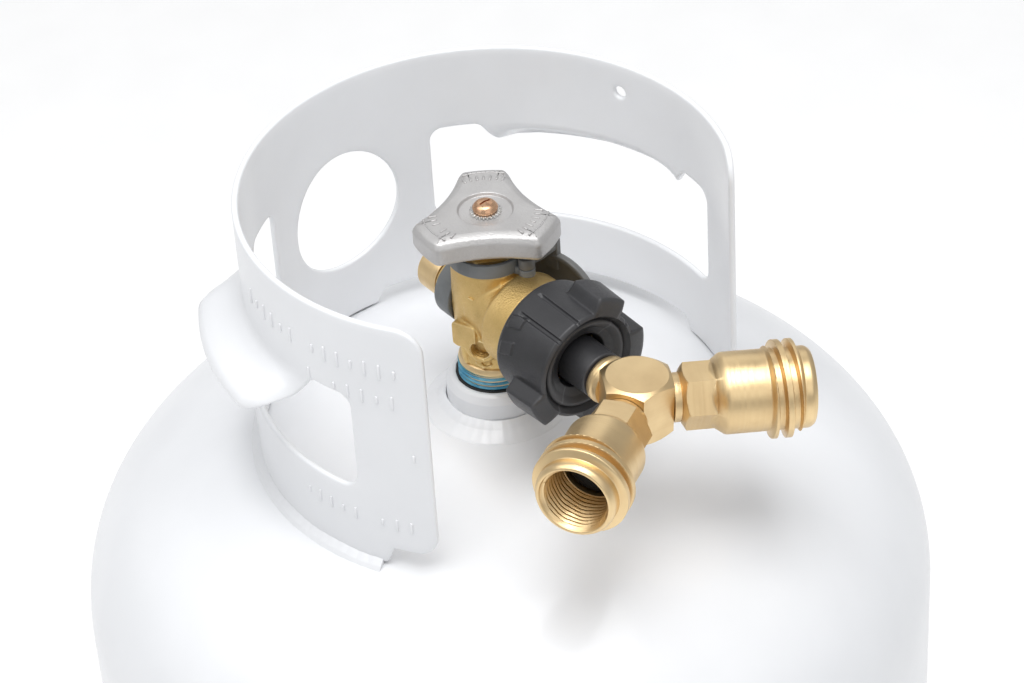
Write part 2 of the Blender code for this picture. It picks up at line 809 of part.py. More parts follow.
def build_dust_cap(dark, hinge):
    swing = frame("cap_swing", (0, 0, 0), (0, 0, CAP_TURN), hinge)
    barrel_low, barrel_top = KNUCKLE_TOP + CLEAR, 427.0
    cap = turned("dust_cap", ring(1.35, 2.9, barrel_low, barrel_top), dark, swing, steps=14)
    strap_side = [
        (2.1, barrel_low),
        (8.0, barrel_low - 1.5),
        (CAP_REACH - 0.4, barrel_low - 2.5),
        (CAP_REACH - 0.4, 424.0),
        (8.0, barrel_top - 0.4),
        (2.1, barrel_top - 0.2),
    ]
    upright = frame("strap_side", (0, 0, 0), (90, 0, 0), swing)
    strap = prism("cap_strap", strap_side, -1.2, 1.2, dark, upright)
    inner, outer = CAP_REACH - CAP_THICK + 0.2, CAP_REACH - 0.1
    tab_outline = [(inner, -1.5), (outer, -1.5), (outer, 6.0), (inner, 6.0)]
    tab = prism("cap_tab", tab_outline, 412.0, 424.4, dark, swing)
    face = frame("cap_face", (0, 0, 401.0), (0, 90, 0), swing)
    plate = [
        (0.0, CAP_REACH - CAP_THICK + 0.9),
        (CAP_R - 1.9, CAP_REACH - CAP_THICK + 0.9),
        (CAP_R - 1.9, CAP_REACH - CAP_THICK),
        (CAP_R, CAP_REACH - CAP_THICK),
        (CAP_R, CAP_REACH - 0.8),
        (CAP_R - 0.8, CAP_REACH),
        (0.0, CAP_REACH),
    ]
    disc = turned("cap_disc", plate, dark, face)
    join(cap, strap, tab, disc)


# ---------------------------------------------------------------- splitter

def build_nut(black, outlet):
    base_front = 19.9
    body = [
        (16.9, NUT_REAR),
        (20.0, NUT_REAR),
        (20.7, NUT_REAR + 0.8),
        (base_front, NUT_FRONT - 0.6),
        (base_front - 0.8, NUT_FRONT),
        (18.4, NUT_FRONT),
        (13.0, 47.6),
        (8.4, 47.0),
        (8.4, 45.2),
        (16.9, 44.8),
    ]
    nut = turned("qcc_nut", body, black, outlet)
    for i, middle in enumerate((60.0, -7.0, -79.0, 207.0)):
        lobe = frame(f"lobe_axis_{i + 1}", (0, 0, 0), (0, 0, middle), outlet)
        outline = [(18.7, -4.0), (19.0, -8.0), (24.4, -6.6), (25.2, 0.0)]
        outline += [(24.4, 6.6), (19.0, 8.0), (18.7, 4.0)]
        wing = prism(f"nut_lobe_{i + 1}", outline, 37.5, NUT_FRONT - 0.3, black, lobe)
        join(nut, wing)
    turned(
        "nut_bushing",
        [
            (6.2, 45.2),
            (8.1, 45.2),
            (8.1, 47.9),
            (11.4, 48.0),
            (11.4, 50.5),
            (10.4, 51.0),
            (10.4, 57.2),
            (9.8, 57.9),
            (6.2, 57.9),
        ],
        black,
        outlet,
        steps=14,
    )


def build_nipple(brass, rubber, outlet):
    hub_end = HUB_S - HUB_FACE
    turned(
        "inlet_nipple",
        [
            (1.5, 24.0),
            (4.6, 24.0),
            (5.4, 25.0),
            (5.4, 27.0),
            (4.6, 27.2),
            (4.6, 29.4),
            (5.8, 29.6),
            (5.8, 40.6),
            (7.9, 41.4),
            (7.9, 44.5),
            (5.8, 44.6),
            (5.8, 58.2),
            (8.4, 58.4),
            (8.4, hub_end - CLEAR),
            (3.6, hub_end - CLEAR),
            (3.6, 40.0),
            (1.5, 38.0),
        ],
        brass,
        outlet,
        steps=14,
    )
    turned("nipple_oring", chamfered(4.9, 6.1, 27.5, 29.1, 0.35), rubber, outlet, steps=14)


def build_splitter(brass, rubber, hub_frame):
    half = 9.6
    body = prism("splitter_body", polygon(6, HUB_FACE, 30.0), -half, half, brass, hub_frame)
    cone = turned(
        "hub_turning",
        [
            (0.0, -half - 1),
            (11.2, -half - 1),
            (14.6, -half + 2.4),
            (14.6, half - 2.4),
            (11.2, half + 1),
            (0.0, half + 1),
        ],
        brass,
        hub_frame,
    )
    trim = body.modifiers.new("turned corners", "BOOLEAN")
    trim.operation = "INTERSECT"
    trim.solver = "EXACT"
    trim.object = guide(cone)
    back = frame("hub_inlet_axis", (0, 0, 0), (0, 90, 90), hub_frame)
    cut(body, turned("hub_inlet", rod(3.6, -0.6, 20.0), brass, back, steps=12))

    for word, turn, sides in (("right", -30.0, 18), ("front", -150.0, 22)):
        arm = frame(f"{word}_axis", (0, 0, 0), (0, 90, turn), hub_frame)
        cut(body, turned(f"hub_{word}_bore", rod(3.6, 0.2, 20.0), brass, arm, steps=sides))
        length = OUTLET_LENGTH
        fitting = turned(
            f"{word}_outlet",
            [
                (3.6, HUB_FACE + CLEAR),
                (8.4, HUB_FACE + CLEAR),
                (8.4, 14.8),
                (9.8, 15.2),
                (9.8, 23.8),
                (13.9, 29.0),
                (13.9, 44.0),
                (15.8, 44.3),
                (15.8, 55.4),
                (13.9, 55.6),
                (13.9, length - 0.8),
                (13.1, length),
                (12.0, length),
                (11.2, length - 1.2),
                (11.2, 40.2),
                (10.7, 39.6),
                (10.7, 33.5),
                (3.6, 33.0),
            ],
            brass,
            arm,
        )
        flats = prism(f"{word}_flats", polygon(6, 10.0), 15.6, 25.6, brass, arm)
        hollow = turned(f"{word}_hollow", rod(4.5, 10, 30), brass, arm, steps=14)
        cut(flats, hollow)
        join(fitting, flats)
        turned(
            f"{word}_outlet_seal",
            chamfered(5.0, 10.4, 33.8, 38.6, 0.8),
            rubber,
            arm,
            steps=14,
        )


# ---------------------------------------------------------------- the whole part

def build():
    clear_scene()
    white = finish("white powder coat", (0.86, 0.87, 0.88), 0.35, 0.0)
    brass = finish("forged brass", (0.62, 0.44, 0.18), 0.42, 1.0)
    machined = finish("machined brass", (0.76, 0.57, 0.30), 0.28, 1.0)
    cast = finish("satin cast zinc", (0.50, 0.49, 0.48), 0.50, 0.6)
    copper = finish("coppered steel", (0.62, 0.36, 0.22), 0.30, 1.0)
    steel = finish("zinc plated steel", (0.55, 0.56, 0.57), 0.35, 1.0)
    rubber = finish("black rubber", (0.03, 0.03, 0.03), 0.70, 0.0)
    black = finish("black nylon", (0.045, 0.045, 0.048), 0.50, 0.0)
    grey = finish("grey plastic", (0.22, 0.23, 0.24), 0.50, 0.0)
    dark = finish("dark grey plastic", (0.10, 0.10, 0.10), 0.45, 0.0)
    foam = finish("float plastic", (0.10, 0.10, 0.11), 0.60, 0.0)
    sealant = finish("blue thread sealant", (0.03, 0.25, 0.42), 0.45, 0.0)

    outlet = frame("outlet_axis", (0, 0, OUT_Z), (90, 0, 0))
    relief = frame("relief_axis", (0, 0, RELIEF_Z), (-90, 0, 0))
    bleeder = frame("bleeder_axis", (0, 0, BLEEDER_Z), (0, 90, BLEEDER_TURN))
    hub = frame("splitter_frame", (0, -HUB_S, OUT_Z), (0, ROLL, 0))

    build_vessel(white)
    build_neck(white)
    build_foot(white)
    build_collar(white)
    drop = build_valve_body(brass, outlet, relief, bleeder)
    build_valve_inside(brass, steel, rubber, sealant, outlet, drop)
    build_relief(brass, steel, relief)
    build_bleeder(brass, rubber, bleeder)
    build_float(brass, foam, steel)
    build_wheel(cast, steel, copper)
    hinge = build_retainer(grey, steel, relief)
    build_dust_cap(dark, hinge)
    build_nut(black, outlet)
    build_nipple(machined, rubber, outlet)
    build_splitter(machined, rubber, hub)


build()
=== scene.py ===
"""The looks of a refillable propane cylinder, its valve and a fitted two-way splitter.

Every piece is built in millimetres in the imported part's own frame: +Z up, the valve's outlet along -Y.
"""

import json
import math

import bmesh
import bpy
import numpy as np
from mathutils import Matrix, Vector, geometry


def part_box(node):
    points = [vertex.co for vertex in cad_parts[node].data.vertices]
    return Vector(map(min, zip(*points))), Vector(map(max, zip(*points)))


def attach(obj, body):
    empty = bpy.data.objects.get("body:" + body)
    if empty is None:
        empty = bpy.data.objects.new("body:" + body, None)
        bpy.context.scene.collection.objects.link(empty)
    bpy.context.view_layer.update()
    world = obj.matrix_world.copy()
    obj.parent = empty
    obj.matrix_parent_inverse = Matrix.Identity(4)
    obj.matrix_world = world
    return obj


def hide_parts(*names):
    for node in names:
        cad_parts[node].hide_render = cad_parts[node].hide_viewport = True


MM = 0.001
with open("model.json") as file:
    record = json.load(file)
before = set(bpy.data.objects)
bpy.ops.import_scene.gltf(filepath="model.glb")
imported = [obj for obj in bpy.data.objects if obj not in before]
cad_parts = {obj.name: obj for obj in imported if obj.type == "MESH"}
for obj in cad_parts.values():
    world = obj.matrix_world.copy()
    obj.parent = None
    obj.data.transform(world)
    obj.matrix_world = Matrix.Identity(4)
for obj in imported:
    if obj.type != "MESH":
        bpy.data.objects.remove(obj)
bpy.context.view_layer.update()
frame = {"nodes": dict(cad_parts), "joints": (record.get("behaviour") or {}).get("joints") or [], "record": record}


# ---------------------------------------------------------------- places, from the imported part

def low(node):
    """A CAD node's low corner, in mm."""
    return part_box(node)[0] / MM


def high(node):
    """A CAD node's high corner, in mm."""
    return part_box(node)[1] / MM


def middle(node):
    return 0.5 * (low(node) + high(node))


def joint(name):
    return next(j for j in frame["joints"] if j["name"] == name)


TANK_R = high("upper_shell").x
GIRTH_Z = middle("girth_weld").z
NECK_R = high("neck_flange").x
NECK_TOP = high("neck_flange").z
COLLAR_TOP = high("collar").z
COLLAR_FOOT = low("collar").z
OUT_Z = middle("nut_bushing").z
RELIEF_Z = middle("relief_cap").z
BODY_TOP = high("valve_body").z
WHEEL_LOW = low("handwheel").z
WHEEL_TOP = high("handwheel").z
HINGE = Vector(joint("dust_cap_swing")["pos_m"]) / MM
BLEEDER_DIRECTION = Vector(joint("bleeder_turn")["axis"])
BLEEDER_TURN = math.degrees(math.atan2(BLEEDER_DIRECTION.y, BLEEDER_DIRECTION.x))
BLEEDER_Z = joint("bleeder_turn")["pos_m"][2] / MM
NUT_REAR = -high("qcc_nut").y
NUT_FRONT = -low("qcc_nut").y
HUB_REACH = -middle("splitter_body").y

# Shape values that the frame doesn't state, the same as the CAD part's. Turns are in degrees from +X.
SHOULDER_TOP = 276.0
SHOULDER_LOW = 98.0
DOME_RISE = 81.0
DOME_POWER = 2.31
WALL = 2.2
FOOT_R = 100.0
COLLAR_R = 86.0
COLLAR_WALL = 2.3
COLLAR_TURN = 92.5
COLLAR_HALF = 126.0
LIP_OUT = 16.0
HOLE_LOW, TONGUE, HOLE_HIGH = 378.0, 403.0, 418.0  # heights of a hand hole's edges, and of the tongue's edge
TONGUE_START, TONGUE_END = 38.0, 96.0  # degrees from the collar's middle, on either side
ROLL = 3.9
CAP_TURN = 16.0
WHEEL_R = 26.4
WHEEL_TURN = 54.0
STOP_TURN = 190.0
FINE_PITCH = 1.81  # 14 threads to the inch


# ---------------------------------------------------------------- materials

def surface(
    name, colours, roughness, grain, metallic=0.0, stretch=(1, 1, 1), patch=25.0, coat=0.0, wear=None
):
    """A node material: two colours blended in soft patches, roughness that varies, and a fine grain.

    grain is (cells per metre, depth in mm). stretch scales the grain along each axis, for turning marks.
    wear is the colour of rubbed edges.
    """
    material = bpy.data.materials.new(name)
    material.use_nodes = True
    nodes, links = material.node_tree.nodes, material.node_tree.links
    shader = nodes["Principled BSDF"]
    shader.inputs["Metallic"].default_value = metallic
    shader.inputs["Coat Weight"].default_value = coat
    shader.inputs["Coat Roughness"].default_value = 0.12
    place = nodes.new("ShaderNodeTexCoord").outputs["Object"]

    def noise(scale, detail, source):
        node = nodes.new("ShaderNodeTexNoise")
        node.inputs["Scale"].default_value = scale
        node.inputs["Detail"].default_value = detail
        links.new(source, node.inputs["Vector"])
        return node.outputs["Fac"]

    def ranged(source, start, end, low_end=0.0, high_end=1.0):
        node = nodes.new("ShaderNodeMapRange")
        limits = {"From Min": start, "From Max": end, "To Min": low_end, "To Max": high_end}
        for field, value in limits.items():
            node.inputs[field].default_value = value
        links.new(source, node.inputs["Value"])
        return node.outputs["Result"]

    def mixed_towards(tint, factor):
        node = nodes.new("ShaderNodeMix")
        node.data_type = "RGBA"
        node.inputs["B"].default_value = (*tint, 1.0)
        links.new(factor, node.inputs["Factor"])
        return node

    blend = mixed_towards(colours[1], ranged(noise(patch, 4.0, place), 0.35, 0.65))
    blend.inputs["A"].default_value = (*colours[0], 1.0)
    colour = blend.outputs["Result"]

    squeeze = nodes.new("ShaderNodeMapping")
    squeeze.inputs["Scale"].default_value = stretch
    links.new(place, squeeze.inputs["Vector"])
    fine = noise(grain[0], 3.0, squeeze.outputs["Vector"])
    bump = nodes.new("ShaderNodeBump")
    bump.inputs["Strength"].default_value = 1.0
    bump.inputs["Distance"].default_value = grain[1] * MM
    links.new(fine, bump.inputs["Height"])
    links.new(bump.outputs["Normal"], shader.inputs["Normal"])
    links.new(ranged(fine, 0.3, 0.7, *roughness), shader.inputs["Roughness"])

    if wear:
        edge = nodes.new("ShaderNodeNewGeometry").outputs["Pointiness"]
        worn = mixed_towards(wear, ranged(edge, 0.515, 0.60))
        links.new(colour, worn.inputs["A"])
        colour = worn.outputs["Result"]
    links.new(colour, shader.inputs["Base Color"])
    return material


ALONG_AXIS = (0.02, 0.02, 1.0)  # grain that changes along local Z only, as turning marks do
MATERIALS = {
    "white_coat": surface(
        "powder_coat", ((0.80, 0.81, 0.83), (0.83, 0.84, 0.86)), (0.30, 0.38), (420, 0.007), coat=0.3
    ),
    "forged_brass": surface(
        "forged_brass", ((0.66, 0.46, 0.18), (0.80, 0.58, 0.25)), (0.34, 0.56), (1700, 0.24), 1.0,
        patch=90, wear=(0.95, 0.78, 0.45),
    ),
    "machined_brass": surface(
        "machined_brass", ((0.72, 0.53, 0.29), (0.84, 0.64, 0.36)), (0.30, 0.46), (1500, 0.06), 1.0,
        ALONG_AXIS, 60,
    ),
    "satin_cast": surface(
        "satin_zinc", ((0.52, 0.51, 0.505), (0.60, 0.59, 0.585)), (0.42, 0.58), (1400, 0.12), 0.8, patch=60
    ),
    "coppered_steel": surface(
        "coppered_steel", ((0.62, 0.36, 0.22), (0.75, 0.48, 0.30)), (0.22, 0.4), (900, 0.04), 1.0, patch=300
    ),
    "plated_steel": surface(
        "plated_steel", ((0.55, 0.55, 0.55), (0.66, 0.65, 0.62)), (0.25, 0.4), (1800, 0.02), 1.0, patch=200
    ),
    "black_rubber": surface(
        "black_rubber", ((0.012, 0.012, 0.012), (0.02, 0.02, 0.02)), (0.55, 0.75), (1500, 0.03)
    ),
    "black_nylon": surface(
        "black_nylon", ((0.022, 0.022, 0.024), (0.030, 0.030, 0.033)), (0.36, 0.50), (1600, 0.035),
        patch=80, wear=(0.07, 0.07, 0.075),
    ),
    "grey_plastic": surface(
        "grey_plastic", ((0.15, 0.16, 0.165), (0.19, 0.20, 0.205)), (0.4, 0.55), (1400, 0.02), patch=120
    ),
    "dark_grey_plastic": surface(
        "dark_grey_plastic", ((0.13, 0.13, 0.128), (0.16, 0.16, 0.155)), (0.38, 0.5), (1400, 0.02), patch=120
    ),
    "float_plastic": surface(
        "float_plastic", ((0.05, 0.05, 0.055), (0.07, 0.07, 0.075)), (0.5, 0.65), (1200, 0.03)
    ),
    "blue_sealant": surface(
        "blue_sealant", ((0.05, 0.26, 0.42), (0.14, 0.42, 0.56)), (0.30, 0.5), (900, 0.12), patch=300
    ),
}



# ---------------------------------------------------------------- mesh tools

CREASE = 38.0  # degrees between faces over which an edge is drawn sharp


def clean_mesh(name, verts, faces, doubles):
    """A mesh from vertices in mm: points nearer than doubles are merged, and the faces look outwards."""
    mesh = bpy.data.meshes.new(name)
    mesh.from_pydata((np.asarray(verts, float) * MM).tolist(), [], [tuple(face) for face in faces])
    shape = bmesh.new()
    shape.from_mesh(mesh)
    bmesh.ops.remove_doubles(shape, verts=shape.verts, dist=doubles * MM)
    loose = [vert for vert in shape.verts if not vert.link_faces]
    bmesh.ops.delete(shape, geom=loose, context="VERTS")
    bmesh.ops.recalc_face_normals(shape, faces=shape.faces)
    shape.to_mesh(mesh)
    shape.free()
    return mesh


def piece(name, verts, faces, slot, body, stands_for=(), place=None, crease=CREASE, doubles=0.004):
    """One piece of the object, from vertices in mm, riding on a body of the part."""
    mesh = clean_mesh(name, verts, faces, doubles)
    mesh.shade_smooth()
    mesh.set_sharp_from_angle(angle=math.radians(crease))
    mesh.materials.append(MATERIALS[slot])
    item = bpy.data.objects.new(name, mesh)
    bpy.context.scene.collection.objects.link(item)
    if place is not None:
        item.matrix_world = place
    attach(item, body)
    if stands_for:
        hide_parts(*stands_for)
    return item


def axis_frame(origin, x, y, z):
    """A placement whose local X, Y and Z run along the given directions; the origin is in mm."""
    turn = Matrix((x, y, z)).transposed().to_4x4()
    return Matrix.Translation(Vector(origin) * MM) @ turn


UP = Vector((0, 0, 1))
UPRIGHT = Matrix.Identity(4)


def spun(degrees, axis):
    return Matrix.Rotation(math.radians(degrees), 4, axis)


def shifted(x, y, z):
    """A placement moved from the origin, in mm."""
    return Matrix.Translation(Vector((x, y, z)) * MM)


OUTLET = axis_frame((0, 0, OUT_Z), (1, 0, 0), (0, 0, 1), (0, -1, 0))
RELIEF = axis_frame((0, 0, RELIEF_Z), (1, 0, 0), (0, 0, -1), (0, 1, 0))
HUB = shifted(0, -HUB_REACH, OUT_Z) @ spun(ROLL, "Y")


def around(turn, radius, height):
    """The point at a direction in degrees, a distance from the valve's axis and a height."""
    return Vector((radius * math.cos(math.radians(turn)), radius * math.sin(math.radians(turn)), height))


def arm_frame(turn):
    """The placement of one of the splitter's outlets: local Z runs out along it."""
    return HUB @ spun(turn, "Z") @ spun(90, "Y")


def fillet(corners, arc_points=3):
    """A closed outline from (x, y, radius) corners, each rounded by an arc of that radius."""
    outline = []
    for i, (x, y, radius) in enumerate(corners):
        here = Vector((x, y))
        if radius <= 0:
            outline.append((x, y))
            continue
        back = Vector(corners[i - 1][:2]) - here
        ahead = Vector(corners[(i + 1) % len(corners)][:2]) - here
        half = 0.5 * back.angle(ahead)
        reach = min(radius / math.tan(half), 0.48 * back.length, 0.48 * ahead.length)
        radius = reach * math.tan(half)
        centre = here + (back.normalized() + ahead.normalized()).normalized() * radius / math.sin(half)
        start = here + back.normalized() * reach - centre
        end = here + ahead.normalized() * reach - centre
        first = math.atan2(start.y, start.x)
        sweep = (math.atan2(end.y, end.x) - first + math.pi) % (2 * math.pi) - math.pi
        for k in range(arc_points + 1):
            angle = first + sweep * k / arc_points
            outline.append((centre.x + radius * math.cos(angle), centre.y + radius * math.sin(angle)))
    return outline


def quads(first, second, count):
    """Faces that join two closed rings of count vertices, given the number of each ring's first vertex."""
    return [(first + i, first + (i + 1) % count, second + (i + 1) % count, second + i) for i in range(count)]


def lathe(outline, steps=96, shape=None, arc=None):
    """Vertices and faces of a closed (radius, height) outline turned about Z.

    shape(angles, radii, heights) may push the surface about; arc = (start, end) in degrees.
    """
    outline = np.array(outline, float)
    count = len(outline)
    if arc:
        angles = np.radians(np.linspace(arc[0], arc[1], steps + 1))
    else:
        angles = np.linspace(0, 2 * math.pi, steps, endpoint=False)
    turn, radius = np.meshgrid(angles, outline[:, 0], indexing="ij")
    height = np.broadcast_to(outline[:, 1], turn.shape)
    if shape:
        radius, height = shape(turn, radius, height)
    verts = np.stack([radius * np.cos(turn), radius * np.sin(turn), height], -1).reshape(-1, 3)
    faces = []
    for i in range(steps):
        j = i + 1 if arc else (i + 1) % steps
        for k in range(count):
            m = (k + 1) % count
            faces.append((i * count + k, j * count + k, j * count + m, i * count + m))
    if arc:
        faces.append(range(count))
        faces.append(range(steps * count, (steps + 1) * count))
    return verts, faces


def hex_reach(turn, flat):
    """How far a hexagon reaches at an angle, when its sides are flat away from the centre."""
    return flat / np.cos((turn + math.pi / 6) % (math.pi / 3) - math.pi / 6)


def helix(turn, height, pitch):
    """The number of turns of a right-hand thread below a point."""
    return height / pitch - turn / (2 * math.pi)


def turned(name, corners, slot, body, stands_for=(), place=UPRIGHT, steps=96, shape=None, arc=None, **more):
    """A turned piece from (radius, height, fillet) corners."""
    verts, faces = lathe(fillet(corners), steps, shape, arc)
    return piece(name, verts, faces, slot, body, stands_for, place, **more)


def prism(outline, base, top):
    """Vertices and faces of an outline drawn up Z from base to top."""
    count = len(outline)
    verts = [(x, y, base) for x, y in outline] + [(x, y, top) for x, y in outline]
    return verts, quads(0, count, count) + [range(count), range(count, 2 * count)]


def slot_cut(half_length, half_width, base, top):
    """A screwdriver slot along local X, to be carved out."""
    corners = [(-half_length, -half_width), (half_length, -half_width)]
    return prism(corners + [(half_length, half_width), (-half_length, half_width)], base, top)


def merged(parts):
    """Several (vertices, faces) shapes as one."""
    verts, faces = [], []
    for part_verts, part_faces in parts:
        start = len(verts)
        verts += [tuple(vert) for vert in part_verts]
        faces += [[start + i for i in face] for face in part_faces]
    return verts, faces


def moved(part, place):
    """A (vertices, faces) shape in mm, carried by a placement in metres."""
    verts, faces = part
    turn = np.array(place.to_3x3())
    shift = np.array(place.translation) / MM
    return np.asarray(verts, float) @ turn.T + shift, faces


def bore(radius, start, end, place, steps=40):
    """A cylinder along local Z, to be carved out."""
    return moved(lathe([(0, start), (radius, start), (radius, end), (0, end)], steps), place)


def smoothstep(value, start, end):
    """0 up to start and 1 from end on, with a soft rise between them."""
    t = np.clip((value - start) / (end - start), 0.0, 1.0)
    return t * t * (3 - 2 * t)


def carve(item, *tools):
    """Cuts closed shapes out of a piece for good."""
    for number, (verts, faces) in enumerate(tools):
        tool = bpy.data.objects.new("tool", clean_mesh("tool", verts, faces, 0.002))
        bpy.context.scene.collection.objects.link(tool)
        cutter = item.modifiers.new(f"cut_{number}", "BOOLEAN")
        cutter.operation = "DIFFERENCE"
        cutter.solver = "EXACT"
        cutter.object = tool
        settle(item)
        bpy.data.objects.remove(tool, do_unlink=True)


def settle(item, crease=CREASE):
    """Makes a piece's modifiers part of its mesh."""
    bpy.context.view_layer.update()
    graph = bpy.context.evaluated_depsgraph_get()
    mesh = bpy.data.meshes.new_from_object(item.evaluated_get(graph), depsgraph=graph)
    item.modifiers.clear()
    item.data = mesh
    mesh.shade_smooth()
    mesh.set_sharp_from_angle(angle=math.radians(crease))


def keep(*nodes):
    """CAD nodes that stay as they are, with the looks of their slot."""
    slots = {row["node"]: row["material_slot"] for row in frame["record"]["subparts"]}
    for node in nodes:
        item = frame["nodes"][node]
        item.data.materials.clear()
        item.data.materials.append(MATERIALS[slots[node]])


# ---------------------------------------------------------------- pressure vessel

def dome(radius, rise, edge, points):
    """(radius, height over the shoulder) from the shoulder to the radius edge."""
    last = math.acos((edge / radius) ** (DOME_POWER / 2)) if edge > 0 else math.pi / 2
    turns = [last * i / points for i in range(points + 1)]
    power = 2 / DOME_POWER
    return [(radius * math.cos(turn) ** power, rise * math.sin(turn) ** power) for turn in turns]


def dome_height(radius):
    """Height of the top dome's outside over the ground."""
    return SHOULDER_TOP + DOME_RISE * (1 - (radius / TANK_R) ** DOME_POWER) ** (1 / DOME_POWER)


def lower_height(radius):
    """Height of the bottom dome's outside over the ground."""
    return SHOULDER_LOW - (DOME_RISE + 1.0) * (1 - (radius / TANK_R) ** DOME_POWER) ** (1 / DOME_POWER)


def half_shell(side, shoulder, rise, hole, straight, curved):
    """The outline of one drawn half; side is 1 for the top half and -1 for the bottom one."""
    edge = GIRTH_Z + side * 0.8
    outside = [(TANK_R - 0.9, edge), (TANK_R - 0.2, edge + side * 1.4), (TANK_R, GIRTH_Z + side * 4)]
    outside += [(TANK_R, z) for z in np.linspace(GIRTH_Z + side * 12, shoulder - side * 8, straight)]
    outside += [(r, shoulder + side * z) for r, z in dome(TANK_R, rise, hole, curved)]
    inside = [(r, shoulder + side * z) for r, z in dome(TANK_R - WALL, rise - WALL, hole, 12)]
    return outside + inside[::-1] + [(TANK_R - WALL, edge)]


def build_vessel():
    steps = 224
    upper = lathe(half_shell(1, SHOULDER_TOP, DOME_RISE, NECK_R + 0.3, 8, 56), steps)
    piece("upper_shell_skin", *upper, "white_coat", "tank", ["upper_shell"])
    lower = lathe(half_shell(-1, SHOULDER_LOW, DOME_RISE + 1, 0, 7, 48), steps)
    piece("lower_shell_skin", *lower, "white_coat", "tank", ["lower_shell"])

    def ripples(turn, radius, height):
        ripple = 0.12 * np.abs(np.sin(0.5 * turn * 210 + 0.25 * (height - GIRTH_Z)))
        wander = 0.25 * np.sin(7 * turn) + 0.2 * np.sin(17 * turn + 1)
        proud = smoothstep(radius, TANK_R + 0.3, TANK_R + 1.0)
        return radius + ripple * proud, height + wander * proud

    face, crown = TANK_R - 0.4, TANK_R + 1.3
    bead = [
        (TANK_R - WALL, GIRTH_Z - 0.4, 0), (face, GIRTH_Z - 0.4, 0), (face, GIRTH_Z - 4.0, 0),
        (crown, GIRTH_Z - 2.4, 1.5), (crown, GIRTH_Z + 2.4, 1.5), (face, GIRTH_Z + 4.0, 0),
        (face, GIRTH_Z + 0.4, 0), (TANK_R - WALL, GIRTH_Z + 0.4, 0),
    ]
    turned("girth_weld_bead", bead, "white_coat", "tank", ["girth_weld"], steps=1260, shape=ripples)


def build_neck():
    base = low("neck_flange").z
    flange = [
        (13.9, base, 0), (NECK_R, base, 0), (NECK_R, NECK_TOP - 3.2, 1.0),
        (NECK_R - 1.4, NECK_TOP - 0.8, 1.4), (15.4, NECK_TOP, 0.8), (14.4, NECK_TOP, 0.3),
        (13.9, NECK_TOP - 0.9, 0.3),
    ]
    turned("neck_ring", flange, "white_coat", "tank", ["neck_flange"], steps=128)
    near, far = NECK_R + 0.05, 26.6
    weld = [
        (near, dome_height(near) - 0.3, 0),
        (far, dome_height(far) - 0.3, 0),
        (far - 0.8, dome_height(far) + 0.5, 0.8),
        (near + 3.4, dome_height(near) + 2.6, 3.5),
        (near, dome_height(near) + 5.4, 0.6),
    ]

    def wander(turn, radius, height):
        proud = smoothstep(height, dome_height(far) + 0.2, dome_height(far) + 1.0)
        uneven = 0.22 * np.sin(3 * turn + 1) + 0.14 * np.sin(8 * turn) + 0.05 * np.sin(40 * turn)
        return radius + uneven * proud, height + 0.5 * uneven * proud

    turned("neck_weld_bead", weld, "white_coat", "tank", ["neck_weld"], steps=276, shape=wander)


def build_foot():
    """The foot ring with six vent holes, and its weld to the bottom dome."""
    wall, flare = 2.4, 3.5
    inner, outer = FOOT_R - wall / 2, FOOT_R + wall / 2
    top = lower_height(outer) - 0.5
    section = [
        (inner + flare - 1.6, 0.0, 0.3), (outer + flare - 0.2, 0.0, 0.8), (outer + flare, 5.2, 1.6),
        (outer + 0.1, 7.0, 3.0), (outer, top, 0), (inner, top - 0.4, 0), (inner + 0.1, 6.0, 3.0),
        (inner + flare - 1.8, 4.0, 0.8),
    ]
    foot = turned("foot_ring_skin", section, "white_coat", "tank", ["foot_ring"], steps=180)
    vents = []
    for i in range(3):
        place = shifted(0, 0, 18.5) @ (spun(60 * i + 30, "Z") @ spun(90, "X"))
        vents.append(bore(5, -120, 120, place, 32))
    carve(foot, *vents)

    near = outer + 0.05
    weld = [
        (near, 26.0, 0),
        (near + 2.6, 27.4, 1.5),
        (near + 4.2, lower_height(near + 4.2) + 0.4, 0),
        (near, lower_height(near) + 0.3, 0),
    ]

    def ripples(turn, radius, height):
        proud = smoothstep(radius, near + 0.4, near + 1.5)
        return radius + 0.12 * proud * np.abs(np.sin(0.5 * turn * 150)), height

    turned("foot_weld_bead", weld, "white_coat", "tank", ["foot_weld"], steps=900, shape=ripples)


# ---------------------------------------------------------------- guard collar

def arc_length(angle):
    """The length along the flat blank that covers an angle of the rolled collar."""
    return math.radians(angle) * COLLAR_R


def spaced(outline, step):
    """The closed outline with points added so that none are further apart than step."""
    points = []
    for (x0, y0), (x1, y1) in zip(outline, outline[1:] + outline[:1]):
        count = max(1, math.ceil(math.hypot(x1 - x0, y1 - y0) / step))
        points += [(x0 + (x1 - x0) * k / count, y0 + (y1 - y0) * k / count) for k in range(count)]
    return np.array(points)


def wound(outline, anticlockwise):
    """The closed outline, turned round if it doesn't run the way asked for."""
    x, y = outline[:, 0], outline[:, 1]
    area = np.sum(x * np.roll(y, -1) - y * np.roll(x, -1))
    return outline if (area > 0) == anticlockwise else outline[::-1]


def inward(outline):
    """Unit vectors into the metal at each point of an outline that has the metal on its left."""
    ahead = np.roll(outline, -1, 0) - outline
    back = outline - np.roll(outline, 1, 0)
    ahead /= np.linalg.norm(ahead, axis=1)[:, None]
    back /= np.linalg.norm(back, axis=1)[:, None]
    along = ahead + back
    along /= np.linalg.norm(along, axis=1)[:, None]
    return np.stack([-along[:, 1], along[:, 0]], 1)


